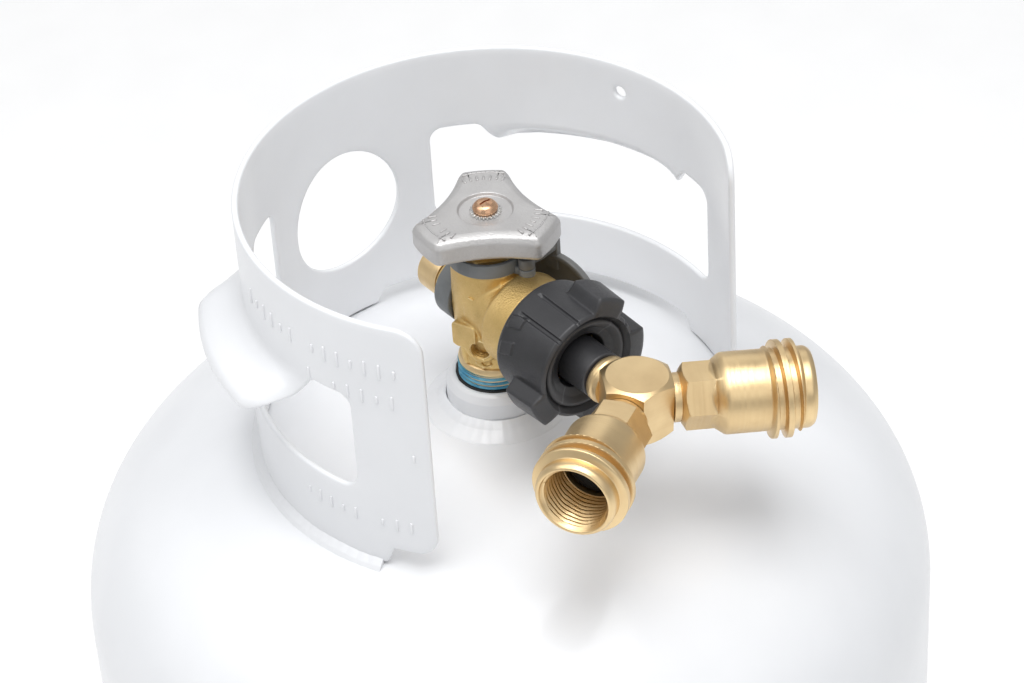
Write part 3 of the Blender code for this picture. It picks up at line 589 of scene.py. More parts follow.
def inside(points, outline):
    """Which points lie inside a closed outline."""
    hit = np.zeros(len(points), bool)
    for (x0, y0), (x1, y1) in zip(outline, np.roll(outline, -1, 0)):
        crosses = (y0 > points[:, 1]) != (y1 > points[:, 1])
        if y1 != y0:
            at = x0 + (points[:, 1] - y0) * (x1 - x0) / (y1 - y0)
            hit ^= crosses & (points[:, 0] < at)
    return hit


def collar_outlines():
    """The flat blank's outside and its holes, as (arc length, height)."""
    end, tab, foot = arc_length(COLLAR_HALF), 355.8, arc_length(113.0)
    arch_start, arch_end, arch_top = arc_length(8.0), arc_length(98.0), 353.5
    outside = [
        (-end, COLLAR_TOP, 10.0), (-end, tab, 8.0), (-foot - 3, tab, 1.5), (-foot, COLLAR_FOOT, 2.0),
        (arch_start, COLLAR_FOOT, 1.5), (arch_start + 3, arch_top, 3.0), (arch_end - 3, arch_top, 3.0),
        (arch_end, COLLAR_FOOT, 1.5), (foot, COLLAR_FOOT, 2.0), (foot + 3, tab, 1.5), (end, tab, 8.0),
        (end, COLLAR_TOP, 10.0),
    ]
    loops = [fillet(outside, 10)]
    start, end_angle, flank = 25.5, 107, 409
    hole = [(start, HOLE_LOW, 7), (end_angle, HOLE_LOW, 7), (end_angle, HOLE_HIGH, 5)]
    hole += [(TONGUE_END, HOLE_HIGH, 4), (91.5, flank, 7), (85, TONGUE, 9), (49, TONGUE, 9)]
    hole += [(42.5, flank, 7), (TONGUE_START, HOLE_HIGH, 4), (start, HOLE_HIGH, 5)]
    for side in (1, -1):
        loops.append(fillet([(side * arc_length(angle), z, r) for angle, z, r in hole], 8))
    window, tag_hole = (0.0, 396.0, 24.0, 72), (75.4, 439.0, 2.3, 20)
    for angle, height, radius, points in (window, tag_hole):
        turns = [2 * math.pi * i / points for i in range(points)]
        middle_x = arc_length(angle)
        loops.append([(middle_x + radius * math.cos(t), height + radius * math.sin(t)) for t in turns])
    return loops


def lip_push(angle, height):
    """How far the tongue over a hand hole is rolled out of the wall."""
    side, ramp, root = np.abs(angle), 13.0, HOLE_HIGH - 1
    rising = smoothstep(side, TONGUE_START, TONGUE_START + ramp)
    along = np.minimum(rising, smoothstep(-side, -TONGUE_END, ramp - TONGUE_END))
    down = smoothstep(-height, -root, 12 - root)
    on_tongue = (side > TONGUE_START) & (height > TONGUE - 1) & (height < root)
    return np.where(on_tongue, LIP_OUT * along * down, 0.0)


def rolled(flat, depth):
    """Points of the flat blank, depth below its outer face, rolled into the collar."""
    angle = np.degrees(flat[:, 0] / COLLAR_R)
    radius = COLLAR_R - depth + lip_push(angle, flat[:, 1])
    turn = np.radians(COLLAR_TURN - angle)
    return np.stack([radius * np.cos(turn), radius * np.sin(turn), flat[:, 1]], 1)


def collar_rims(loops, edge_r=0.95):
    """The rounded edges of the blank: their points and faces, and the flat borders they leave."""
    verts, faces, borders = [], [], []
    for loop in loops:
        into = inward(loop)
        rings = []
        for turn in map(math.radians, (90, 60, 30, 0)):
            rings.append((loop + into * edge_r * (1 - math.cos(turn)), edge_r * (1 - math.sin(turn))))
        section = rings + [(flat, COLLAR_WALL - depth) for flat, depth in rings[::-1]]
        start = sum(len(part) for part in verts)
        verts += [rolled(flat, depth) for flat, depth in section]
        count = len(loop)
        for k in range(len(section) - 1):
            faces += quads(start + k * count, start + (k + 1) * count, count)
        borders.append(rings[0][0])
    return verts, faces, borders


def in_metal(points, borders):
    """Which points of the blank lie inside its outside border and outside its holes."""
    free = inside(points, borders[0])
    for border in borders[1:]:
        free &= ~inside(points, border)
    return free


def collar_sheet(borders, outside, grid=2.2):
    """Points and triangles that fill the flat blank between its borders; the grid spans its outside."""
    span = np.arange(outside[:, 0].min(), outside[:, 0].max(), grid)
    rise = np.arange(COLLAR_FOOT, COLLAR_TOP, grid)
    field = np.stack(np.meshgrid(span, rise), -1).reshape(-1, 2)
    field = field[in_metal(field, borders)]
    border_points = np.concatenate(borders)
    nearest = np.array([np.min(np.sum((border_points - point) ** 2, 1)) for point in field])
    field = field[nearest > (0.6 * grid) ** 2]
    edges, start = [], 0
    for border in borders:
        count = len(border)
        edges += [(start + i, start + (i + 1) % count) for i in range(count)]
        start += count
    points = [Vector(point) for point in np.concatenate([border_points, field])]
    flat, _, triangles, *_ = geometry.delaunay_2d_cdt(points, edges, [], 0, 1e-5)
    flat = np.array([tuple(point) for point in flat])
    triangles = np.array([tuple(triangle) for triangle in triangles])
    return flat, triangles[in_metal(flat[triangles].mean(1), borders)]


def build_collar():
    loops = [wound(spaced(loop, 1.5), i == 0) for i, loop in enumerate(collar_outlines())]
    verts, faces, borders = collar_rims(loops)
    flat, triangles = collar_sheet(borders, loops[0])
    for depth in (0.0, COLLAR_WALL):
        start = sum(len(part) for part in verts)
        verts.append(rolled(flat, depth))
        faces += [tuple(start + i for i in triangle) for triangle in triangles]
    verts = np.concatenate(verts)
    piece("collar_skin", verts, faces, "white_coat", "tank", ["collar"], crease=60, doubles=0.01)

    near, reach = COLLAR_R - 0.2, 3.6
    bead = [
        (near, dome_height(near) - 0.4, 0),
        (near + reach, dome_height(near + reach) - 0.3, 0),
        (near + 0.62 * reach, dome_height(near + reach) + 1.5, 1.5),
        (near, dome_height(near) + 2.6, 0),
    ]

    def ripples(turn, radius, height):
        proud = smoothstep(height, dome_height(near + reach) + 0.2, dome_height(near + reach) + 1.2)
        return radius + 0.18 * proud * np.abs(np.sin(turn * 60)), height + 0.15 * proud * np.sin(turn * 23)

    for side, (start, end) in {"left": (-112.0, 7.0), "right": (99.0, 112.0)}.items():
        size = {"steps": round((end - start) * 4), "arc": (COLLAR_TURN - end, COLLAR_TURN - start)}
        name, node = f"collar_weld_bead_{side}", f"collar_weld_{side}"
        turned(name, bead, "white_coat", "tank", [node], shape=ripples, **size)


def raised_bar(length, width, rise, sink=0.3, ends=6):
    """A plain raised dash lying along X, with round ends and softened edges."""
    half, r = 0.5 * length - 0.5 * width, 0.5 * width
    outline = []
    for centre, first in ((half, -90), (-half, 90)):
        for k in range(ends + 1):
            turn = math.radians(first + 180 * k / ends)
            outline.append((centre + r * math.cos(turn), r * math.sin(turn)))
    count = len(outline)
    levels = [(1.0, -sink), (1.0, 0.45 * rise), (0.86, 0.82 * rise), (0.6, rise)]
    verts = []
    for share, z in levels:
        inset = r * (1 - share)
        for x, y in outline:
            from_end = x - math.copysign(half, x)
            away = math.hypot(from_end, y) or 1.0
            verts.append((x - from_end / away * inset, y - y / away * inset, z))
    faces = []
    for k in range(len(levels) - 1):
        faces += quads(k * count, (k + 1) * count, count)
    faces += [range(count), range((len(levels) - 1) * count, len(levels) * count)]
    return verts, faces


def build_collar_marks():
    """Plain raised dashes pressed out of the collar, in rows."""
    parts, pitch = [], 5.2
    # Where each row starts and ends in degrees from the collar's middle, its height, and its dashes' size
    rows = (
        (-119.0, -69.0, 432.5, 6.2, 1.1), (-118.0, -92.0, 420.5, 5.6, 1.1),
        (-120.0, -88.0, 367.0, 5.0, 1.0), (-122.0, -113.0, 398.0, 5.6, 1.1),
    )
    for row, (start, end, height, tall, width) in enumerate(rows):
        count = int(arc_length(end - start) / pitch)
        for k in range(count):
            if (k * 7 + row * 3) % 11 == 5:
                continue
            angle = start + (end - start) * k / count
            short = (k * 5 + row) % 3 == 0
            bar = raised_bar(tall * (0.55 if short else 1.0), width, 0.5)
            out = around(COLLAR_TURN - angle, 1, 0)
            place = axis_frame(out * COLLAR_R + UP * height, UP, UP.cross(out), out)
            parts.append(moved(bar, place))
    piece("collar_marks", *merged(parts), "white_coat", "tank", crease=60)


# ---------------------------------------------------------------- valve

def tube(points, radius, sides=10):
    """A closed round bar through the given points, in mm."""
    points = [Vector(point) for point in points]
    verts, faces = [], []
    for i, point in enumerate(points):
        ahead = (points[min(i + 1, len(points) - 1)] - points[max(i - 1, 0)]).normalized()
        across = ahead.orthogonal().normalized()
        other = ahead.cross(across)
        for k in range(sides):
            turn = 2 * math.pi * k / sides
            verts.append(point + radius * (across * math.cos(turn) + other * math.sin(turn)))
    for i in range(len(points) - 1):
        faces += quads(i * sides, (i + 1) * sides, sides)
    return verts, faces + [range(sides), range((len(points) - 1) * sides, len(points) * sides)]


def pointing(turn, height):
    """A placement with local Z straight out of the column in the given direction."""
    out = around(turn, 1, 0)
    return axis_frame((0, 0, height), UP.cross(out), UP, out)


def build_casting(bleeder):
    """The forged body: turned bodies and raised flow lines, fused, softened and bored."""
    top, foot = BODY_TOP, 377.5
    column = [(0, foot, 0), (12.1, foot, 0), (11.7, 383.0, 2.0), (13.2, 387.5, 2.0)]
    column += [(13.3, top, 1.0), (0, top, 0)]
    barrel = [(0, 2, 0), (13.6, 2, 0), (13.9, 13.8, 1.5), (17.2, 16.4, 1.5), (17.3, 27.5, 0.6), (0, 27.5, 0)]
    rear = [(0, 2, 0), (9.4, 2, 0), (9.4, 20.7, 0.6), (0, 20.7, 0)]
    boss = [(0, 5, 0), (7.0, 5, 0), (6.0, 13.5, 0), (5.2, 14.8, 0.8), (0, 14.8, 0)]
    parts = [
        lathe(fillet(column), 72),
        moved(lathe(fillet(barrel), 96), OUTLET),
        moved(lathe(fillet(rear), 64), RELIEF),
        moved(lathe(fillet(boss), 48), bleeder),
    ]
    slab = prism(fillet([(-5.5, -5.6, 1.6), (5.5, -4.2, 1.6), (5.5, 6.2, 1.2), (-5.5, 4.2, 1.2)]), 4, 15.4)
    parts.append(moved(slab, pointing(STOP_TURN, 393.5)))
    # Each flow line: its radius, then its (direction, distance from the axis, height) points
    ridges = (
        (1.35, (252, 12.9, 416.2),
         (240, 13.6, 413.4), (228, 13.7, 410.2), (221, 13.4, 405.6), (217, 12.9, 400)),
        (1.5, (216, 13.2, 397.6), (222, 14.1, 395.0), (231, 14.7, 391.4), (240, 14.2, 387.0)),
        (1.0, (204, 13.4, 383.2), (216, 13.6, 381.4), (228, 13.0, 381.6)),
        (1.1, (238, 14.2, 405.0), (244, 15.0, 400.6), (246, 15.4, 397.0)),
        (1.2, (176, 12.8, 388.0), (178, 12.6, 383.0), (180, 12.2, 379.6)),
        (1.35, (288, 12.9, 416.2),
         (300, 13.6, 413.4), (312, 13.7, 410.2), (318, 13.2, 402), (320, 12.8, 390)),
        (1.2, (140, 12.4, 416.0), (142, 12.6, 400.0), (140, 12.0, 386.0)),
        (1.2, (40, 12.4, 416.0), (38, 12.6, 400.0), (40, 12.0, 386.0)),
    )
    for thick, *path in ridges:
        parts.append(tube([around(*point) for point in path], thick))
    body = piece("valve_casting", *merged(parts), "forged_brass", "tank", ["valve_body"], doubles=0.0005)
    remesh = body.modifiers.new("cast", "REMESH")
    remesh.mode = "VOXEL"
    remesh.voxel_size = 0.40 * MM
    soften = body.modifiers.new("soften", "SMOOTH")
    soften.factor = 0.5
    soften.iterations = 6
    settle(body, 180)

    carve(
        body,
        bore(3.9, 10.5, 25, bleeder, 28),
        bore(8.6, 393, 425, UPRIGHT),
        bore(7.9, 17.5, 25, RELIEF),
        bore(12.6, 11, 45, OUTLET),
    )


def build_bleeder_thread(bleeder):
    def threads(turn, radius, height):
        phase = helix(turn, height, 1.2)
        return radius + 0.35 * (1 - np.abs((phase % 1.0) * 2 - 1)) * (radius < 3.8), height

    inner, outer, start, end = 3.4, 4.0, 11.2, 14.6
    sleeve = [(inner, z) for z in np.linspace(start, end, 30)] + [(outer, end), (outer, start)]
    sleeve = lathe(sleeve, 64, threads)
    piece("bleeder_thread", *sleeve, "forged_brass", "tank", place=bleeder, crease=60)


def build_casting_marks():
    """Small plain dashes in rows on the column, in place of cast characters."""
    parts = []
    for row in range(4):
        for k in range(7 - row % 2):
            if (row * 3 + k * 5) % 7 == 3:
                continue
            turn = 201 + 3.3 * k + 1.2 * row
            out = around(turn, 1, 0)
            place = axis_frame(around(turn, 13.4, 410.4 - 2.5 * row - 0.35 * k), UP.cross(out), UP, out)
            parts.append(moved(raised_bar(0.95 if k % 2 else 1.5, 0.5, 0.35), place))
    piece("casting_marks", *merged(parts), "forged_brass", "tank", crease=60)


def build_turned_ends():
    """The machined shoulder over the neck, the shank in it, and the nose under the nut."""
    low_z, top_z = 376.2, 379.4
    ring = [(8, low_z, 0), (12.9, low_z, 0.3), (13.1, 377.4, 0.5), (12.6, 378.9, 0.5)]
    ring += [(11.6, top_z, 0.3), (8, top_z, 0)]
    turned("valve_shoulder_ring", ring, "machined_brass", "tank", steps=128)
    shank = [(4.0, 346.0, 0.2), (12.4, 346.0, 0.6), (12.8, 358.6, 0), (12.6, 376.4, 0), (4.0, 376.4, 0)]
    turned("valve_shank", shank, "machined_brass", "tank", steps=96)
    nose = [(12.6, 26.5, 0), (16.4, 26.5, 0), (16.4, 39.8, 1.2), (12.6, 39.8, 0.4)]
    turned("valve_nose", nose, "machined_brass", "tank", place=OUTLET, steps=128)


def build_bleeder_screw(bleeder):
    screw = [(0, 9.0, 0), (2.2, 9.5, 0.3), (2.2, 10.8, 0), (3.3, 10.8, 0.2), (3.3, 12.0, 0.5), (0, 12.0, 0)]
    item = turned("bleeder_screw_skin", screw, "forged_brass", "bleeder", ["bleeder_screw"], bleeder, 48)
    carve(item, slot_cut(4, 0.55, 11.0, 13.0))
    seal = [(2.3, 10.05, 0), (3.5, 10.05, 0.1), (3.5, 10.75, 0.1), (2.3, 10.75, 0)]
    turned("bleeder_seal_skin", seal, "black_rubber", "bleeder", ["bleeder_seal"], bleeder, 48)


def build_inlet_thread():
    """The inlet thread under its blue film, and a black ring round its foot: painted shade in the gap between the
    thread and the neck.
    """
    def screw_threads(turn, radius, height):
        ridge = 0.85 * (0.5 + 0.5 * np.cos(2 * math.pi * helix(turn, height, FINE_PITCH)))
        return radius - ridge * smoothstep(radius, 12.8, 13.2), height

    foot, head = NECK_TOP - 0.6, 376.3
    sealant = [(12.4, foot)] + [(13.35, z) for z in np.linspace(foot, head, 44)] + [(12.4, head)]
    sealant = lathe(sealant, 128, screw_threads)
    piece("sealant_threads", *sealant, "blue_sealant", "tank", ["thread_sealant"], crease=60)

    # A black ring that is no real part: painted shade in the gap where the thread goes into the neck.
    def wavering(turn, radius, height):
        return radius + 0.25 * np.sin(turn * 5) * np.sin(turn * 13 + 1), height

    base = NECK_TOP - 1.4
    ring = [(12.9, base, 0), (14.6, base, 0), (14.3, NECK_TOP + 0.25, 0.3), (12.9, NECK_TOP + 0.4, 0.2)]
    turned("painted_shade_ring", ring, "black_rubber", "tank", steps=128, shape=wavering)


def build_valve_body():
    bleeder = pointing(BLEEDER_TURN, BLEEDER_Z)
    build_casting(bleeder)
    build_bleeder_thread(bleeder)
    build_casting_marks()
    build_turned_ends()
    build_bleeder_screw(bleeder)
    build_inlet_thread()


def build_bonnet():
    def flats(turn, radius, height):
        on_hex = radius > 9.5
        return np.where(on_hex, np.minimum(radius, hex_reach(turn, 10.4)), radius), height

    base = BODY_TOP + 0.3
    outline = [
        (4.3, 411.5, 0), (8.3, 411.5, 0), (8.3, base, 0), (11.4, base, 0), (12.0, base + 0.9, 0),
        (12.0, 424.0, 0), (11.2, 424.8, 0), (8.9, 424.9, 0.2), (8.9, 428.0, 0.5), (6.4, 428.0, 0.3),
        (6.4, 422.0, 0), (4.3, 422.0, 0),
    ]
    turned("bonnet_skin", outline, "forged_brass", "tank", ["bonnet"], steps=144, shape=flats, crease=25)


def wheel_outline(points=720):
    """The handwheel's radius at evenly spaced angles: three flat lobes with shallow concave sides."""
    lobe_half, lobe_bow, side_bow, corner_r = 18.8, -0.9, 2.8, 4.2
    corners = []
    for i in range(3):
        for offset in (-lobe_half, lobe_half):
            turn = math.radians(WHEEL_TURN + 120 * i + offset)
            corners.append((WHEEL_R * math.cos(turn), WHEEL_R * math.sin(turn)))
    path = []
    for i, (x, y) in enumerate(corners):
        nx, ny = corners[(i + 1) % 6]
        steps, bow = 40, (lobe_bow if i % 2 == 0 else side_bow)
        length = math.hypot(nx - x, ny - y)
        into = ((y - ny) / length, (nx - x) / length)
        for k in range(steps):
            t = k / steps
            push = bow * 4 * t * (1 - t)
            path.append((x + (nx - x) * t + into[0] * push, y + (ny - y) * t + into[1] * push))
    path = spaced(path, 0.1)
    length = np.hypot(*(np.roll(path, -1, 0) - path).T)
    reach = max(1, round(corner_r / length.mean()))
    kernel = np.hanning(2 * reach + 1)
    kernel /= kernel.sum()
    wrap = np.concatenate([path[-2 * reach :], path, path[: 2 * reach]])
    soft = np.stack([np.convolve(wrap[:, k], kernel, "same") for k in (0, 1)], 1)[2 * reach : -2 * reach]
    angle = np.arctan2(soft[:, 1], soft[:, 0]) % (2 * math.pi)
    order = np.argsort(angle)
    even = np.linspace(0, 2 * math.pi, points, endpoint=False)
    return np.interp(even, angle[order], np.hypot(*soft.T)[order], period=2 * math.pi)


def circle(radius, steps):
    """Points evenly spaced round a circle, from +X."""
    turn = np.linspace(0, 2 * math.pi, steps, endpoint=False)
    return np.stack([np.cos(turn), np.sin(turn)], 1) * radius


def build_wheel():
    steps, recess = 720, WHEEL_TOP - 1.1
    hub_r, dish_r = 12.9, 11.5
    edge = circle(1.0, steps) * wheel_outline(steps)[:, None]
    into = inward(edge)
    hollow = WHEEL_LOW + 2.2
    hub = [(3.5, hollow, 0), (11.8, hollow, 0.8), (12.4, WHEEL_LOW, 0.5), (hub_r, WHEEL_LOW, 0)]
    sections = [(circle(radius, steps), z) for radius, z in fillet(hub)]
    rim = [(3.2, WHEEL_LOW, 0), (0.8, WHEEL_LOW, 1.4), (0.0, WHEEL_LOW + 1.4, 1.2)]
    rim += [(0.0, WHEEL_TOP - 3.0, 2.4), (1.3, WHEEL_TOP - 1.0, 2.0), (3.8, WHEEL_TOP, 0)]
    rounded = fillet(rim, 5)
    under, over = edge + into * rounded[0][0], edge + into * rounded[-1][0]
    inner_low, inner_top = circle(hub_r, steps), circle(dish_r, steps)
    shares = [k / 8 for k in range(1, 8)]
    sections += [(inner_low + (under - inner_low) * share, WHEEL_LOW) for share in shares]
    sections += [(edge + into * inset, z) for inset, z in rounded]
    sections += [(over + (inner_top - over) * share, WHEEL_TOP) for share in shares]
    dish = [(dish_r, WHEEL_TOP, 0), (9.7, WHEEL_TOP, 0.4), (9.2, recess, 0.3), (3.5, recess, 0)]
    sections += [(circle(radius, steps), z) for radius, z in fillet(dish)]
    verts = np.concatenate([np.column_stack([flat, np.full(steps, z)]) for flat, z in sections])
    faces = []
    for k in range(len(sections)):
        faces += quads(k * steps, (k + 1) % len(sections) * steps, steps)
    piece("wheel_casting", verts, faces, "satin_cast", "wheel", ["handwheel"], crease=50)

    def teeth(turn, radius, height):
        return radius + 0.35 * smoothstep(radius, 4.6, 5.0) * np.cos(turn * 24), height

    base = recess + 0.05
    washer = [(2.3, base, 0), (5.2, base, 0.2), (5.2, recess + 0.9, 0.2), (2.3, recess + 1.0, 0)]
    turned("serrated_washer", washer, "plated_steel", "wheel", ["wheel_washer"], steps=192, shape=teeth)

    head = recess + 1.1
    screw = [(0, 427.0, 0), (1.8, 427.0, 0), (1.8, head, 0), (4.3, head, 0.2)]
    screw += [(4.5, head + 0.9, 0.4), (3.4, head + 2.6, 2.4), (0, head + 3.2, 0)]
    item = turned("wheel_screw_skin", screw, "coppered_steel", "wheel", ["wheel_screw"], steps=72)
    carve(item, slot_cut(2.2, 0.4, head + 1.9, head + 4))
    build_wheel_marks()
    keep("stem")


def build_wheel_marks():
    """Two arcs of plain dashes on each lobe, in place of cast lettering."""
    parts = []
    for lobe in range(3):
        centre = WHEEL_TURN + 120 * lobe
        for k in range(-3, 4):
            if k == 0 and lobe == 1:
                continue
            out = around(centre + 7.2 * k, 1, 0)
            place = axis_frame(out * 18.4 + UP * (WHEEL_TOP - 0.05), out, UP.cross(out), UP)
            parts.append(moved(raised_bar(3.0 if k % 2 else 2.2, 0.85, 0.4), place))
        for k in range(-4, 5):
            out = around(centre + 4.2 * k, 1, 0)
            place = axis_frame(out * 21.8 + UP * (WHEEL_TOP - 0.12), UP.cross(out), out * -1, UP)
            parts.append(moved(raised_bar(2.1, 0.7, 0.35), place))
    piece("wheel_marks", *merged(parts), "satin_cast", "wheel", crease=60)


def build_relief():
    cap = [
        (6.3, 18.3, 0), (7.6, 18.3, 0), (7.6, 21.2, 0), (9.05, 21.2, 0.3), (9.05, 31.0, 0.2),
        (8.3, 32.0, 0.3), (6.9, 32.0, 0.3), (6.3, 30.4, 0.3), (2.2, 30.4, 0.3), (2.2, 27.2, 0),
        (6.3, 27.2, 0),
    ]
    turned("relief_cap_skin", cap, "machined_brass", "tank", ["relief_cap"], RELIEF, 128)
    ring = [(1.7, -0.3, 0), (2.5, -0.3, 0), (2.4, 0.22, 0.15), (1.8, 0.22, 0.15)]
    turn = math.radians(250)
    out = Vector((math.cos(turn), 0, -math.sin(turn)))
    place = axis_frame(Vector((0, 27.3, RELIEF_Z)) + out * 9.0, (0, 1, 0), out.cross(Vector((0, 1, 0))), out)
    turned("relief_stamp", ring, "machined_brass", "tank", place=place, steps=32)


def build_retainer():
    base, top = BODY_TOP + 0.3, high("cap_retainer").z

    def band_shape(turn, radius, height):
        notch = smoothstep(np.cos(turn * 2 - 0.6), 0.93, 0.97) * smoothstep(height, top - 1.2, top - 0.6)
        return radius - 0.9 * notch * (radius > 14), height

    band = [(12.8, base, 0.2), (14.4, base, 0.3), (14.4, top, 0.4), (12.8, top, 0.3)]
    turned("retainer_band", band, "grey_plastic", "tank", ["cap_retainer"], steps=180, shape=band_shape)

    def saddled(turn, radius, height):
        column = np.sqrt(np.maximum(13.7**2 - (radius * np.cos(turn)) ** 2, 0))
        return radius, np.where(height < 13.0, np.maximum(height, column), height)

    hoop = [(10.4, 9.2, 0.3), (12.2, 9.2, 0.5), (12.2, 17.4, 0.5), (10.4, 17.4, 0.3)]
    turned("retainer_hoop", hoop, "grey_plastic", "tank", place=RELIEF, steps=144, shape=saddled)
    side = [(13.4, base, 0.3), (13.4, top - 0.3, 0.6), (15.8, top - 0.6, 1.2), (17.1, 415.0, 1.0)]
    side += [(17.3, 410.3, 0.4), (14.0, 410.3, 0.4), (14.0, base, 0.4)]
    rearward = axis_frame((0, 0, 0), (0, 1, 0), UP, (1, 0, 0))
    item = piece("retainer_link", *prism(fillet(side), -5.4, 5.4), "grey_plastic", "tank", place=rearward)
    round_edges(item, 0.5)
    knuckle_low, knuckle_top = 419.6, 422.7
    hinge = shifted(HINGE.x, HINGE.y, 0)
    knuckle = hinge_barrel(knuckle_low, knuckle_top)
    turned("hinge_knuckle", knuckle, "grey_plastic", "tank", place=hinge, steps=48)
    bridge = prism([(-2.3, 1.6), (2.3, 1.6), (1.2, 4.0), (-3.6, 4.0)], knuckle_low, knuckle_top)
    item = piece("hinge_bridge", *bridge, "grey_plastic", "tank", place=hinge)
    round_edges(item, 0.3)
    base, neck = 420.8, 427.3
    pin = [(0, base, 0), (1.05, base, 0), (1.05, neck, 0), (2.3, neck, 0.2), (2.1, 428.0, 0.4), (0, 428.1, 0)]
    turned("hinge_pin", pin, "grey_plastic", "tank", ["cap_pin"], hinge, 48)


def hinge_barrel(base, top):
    """Corners of a short sleeve round the dust cap's pin."""
    return [(1.35, base, 0.1), (2.9, base, 0.3), (2.9, top, 0.3), (1.35, top, 0.1)]


def round_edges(item, width, segments=3):
    """Rounds a piece's sharp edges for good; width is in mm."""
    edge = item.modifiers.new("round", "BEVEL")
    edge.width = width * MM
    edge.segments = segments
    edge.limit_method = "ANGLE"
    edge.angle_limit = math.radians(40)
    settle(item)


def build_dust_cap():
    swing = shifted(HINGE.x, HINGE.y, 0) @ spun(CAP_TURN, "Z")
    reach, thick, radius = 18.0, 2.8, 17.5
    base, top = 423.0, 427.0
    turned("cap_barrel", hinge_barrel(base, top), "dark_grey_plastic", "cap", place=swing, steps=48)
    end = reach - 0.4
    side = [(2.0, base, 0.3), (8, base - 1.5, 3), (end, base - 2.5, 0.3)]
    side += [(end, 424.2, 1.2), (8, top - 0.4, 3), (2.0, top - 0.2, 0.3)]
    strap = prism(fillet(side), -1.3, 1.3)
    strap = piece("cap_strap", *strap, "dark_grey_plastic", "cap", place=swing @ spun(90, "X"))
    round_edges(strap, 0.4)
    near, far = reach - thick + 0.2, reach - 0.1
    tab = fillet([(near, -1.6, 0.4), (far, -1.6, 0.4), (far, 6.0, 0.4), (near, 6.0, 0.4)])
    tab = piece("cap_tab", *prism(tab, 412, 424.4), "dark_grey_plastic", "cap", place=swing)
    round_edges(tab, 0.3)
    back = reach - thick
    plate = [
        (0, back + 0.9, 0), (radius - 2.3, back + 0.9, 0.5), (radius - 1.9, back, 0.3),
        (radius, back, 0.6), (radius, reach - 0.2, 0.8), (radius - 1.6, reach, 0.4),
        (radius - 2.6, reach - 0.5, 0.3), (6.0, reach - 0.5, 0.4), (5.2, reach, 0.3), (0, reach, 0),
    ]
    face = swing @ Matrix.Translation((0, 0, 401.0 * MM)) @ spun(90, "Y")
    turned("cap_cup", plate, "dark_grey_plastic", "cap", ["dust_cap"], face, 160)


# ---------------------------------------------------------------- splitter

def build_nut():
    rear, front = NUT_REAR, NUT_FRONT
    lobes, lobe_rise = (60.0, -7.0, -79.0, 207.0), 5.2
    pads, pad_rise = ((139, 5.5), (166, 6.0), (-45, 6.0)), 0.75
    grooves, groove_depth = (126, 100, 27, -43), 0.9
    lean_per_mm = 0.9

    def bump(angle, centre, half, edge):
        away = np.abs((angle - centre + 180) % 360 - 180)
        return 1 - smoothstep(away, half, half + edge)

    def formed(turn, radius, height):
        angle = np.degrees(turn)
        outer = smoothstep(radius, 18.6, 19.4)
        front_part = smoothstep(height, rear + 8.2, rear + 10.2)
        crown = np.maximum.reduce([bump(angle, lobe, 13.0, 7.0) for lobe in lobes])
        lean = (height - rear) * lean_per_mm
        pad = np.maximum.reduce([bump(angle, centre - lean, half, 1.5) for centre, half in pads])
        rear_part = smoothstep(height, rear + 1.6, rear + 2.2)
        rear_part = rear_part * (1 - smoothstep(height, rear + 7.4, rear + 8.0))
        groove = np.maximum.reduce([bump(angle, centre, 1.6, 1.2) for centre in grooves])
        deep = smoothstep(height, rear + 3.0, rear + 5.0)
        rise = lobe_rise * crown * front_part + pad_rise * pad * rear_part - groove_depth * groove * deep
        return radius + rise * outer, height

    stations = np.linspace(rear + 1.0, front - 1.0, 46)
    outline = [(16.9, rear + 0.4), (17.4, rear), (20.0, rear), (20.5, rear + 0.25)]
    outline += [(20.8 - 0.9 * (z - rear) / (front - rear), z) for z in stations]
    outline += [(19.75, front - 0.7), (19.2, front - 0.2), (18.6, front)]
    dish = [(16.8, front - 0.1, 1.5), (13.2, 50.9, 3.0), (10.2, 49.7, 0.6), (9.6, 46.8, 0.4)]
    outline += fillet(dish + [(9.5, 45.2, 0), (16.9, 44.8, 0)])
    piece("nut_moulding", *lathe(outline, 540, formed), "black_nylon", "nut", ["qcc_nut"], OUTLET, crease=50)

    bushing = [
        (6.2, 45.2, 0), (8.2, 45.2, 0), (8.2, 47.2, 0), (8.6, 47.9, 0.4), (8.4, 61.0, 0.8),
        (6.2, 61.5, 0.3),
    ]
    turned("nut_bushing_skin", bushing, "black_nylon", "nut", ["nut_bushing"], OUTLET, 128)


def build_nipple():
    hub_end = HUB_REACH - 11.6
    nipple = [
        (1.6, 24.0, 0.2), (4.6, 24.0, 0.6), (5.4, 25.6, 0.2), (5.4, 27.0, 0), (4.6, 27.2, 0),
        (4.6, 29.4, 0), (5.8, 29.6, 0), (5.8, 40.6, 0), (7.9, 41.4, 0), (7.9, 44.5, 0), (5.8, 44.6, 0),
        (5.8, 61.9, 0), (8.1, 62.1, 0.4), (8.6, 63.0, 0.4), (8.6, 64.6, 0.4), (8.2, 65.2, 0.2),
        (8.2, hub_end, 0), (3.6, hub_end, 0), (3.6, 40.0, 0), (1.6, 38.0, 0),
    ]
    turned("nipple_skin", nipple, "machined_brass", "splitter", ["inlet_nipple"], OUTLET, 128)


def build_hub():
    half, flat = 10.6, 11.6

    def hexed(turn, radius, height):
        return np.minimum(radius, hex_reach(turn, flat)), height

    crown = [(0, half), (4, half), (8, half), (10.4, half)]
    slope = [(r, half - (r - 10.6) * 0.62) for r in np.linspace(10.6, 13.4, 14)]
    upper = crown + slope
    side = [(13.6, z) for z in np.linspace(upper[-1][1] - 0.4, -upper[-1][1] + 0.4, 12)]
    outline = upper + side + [(r, -z) for r, z in upper[::-1]]
    hub = lathe(outline, 360, hexed)
    place = HUB @ spun(30, "Z")
    piece("hub_forging", *hub, "machined_brass", "splitter", ["splitter_body"], place, crease=22)


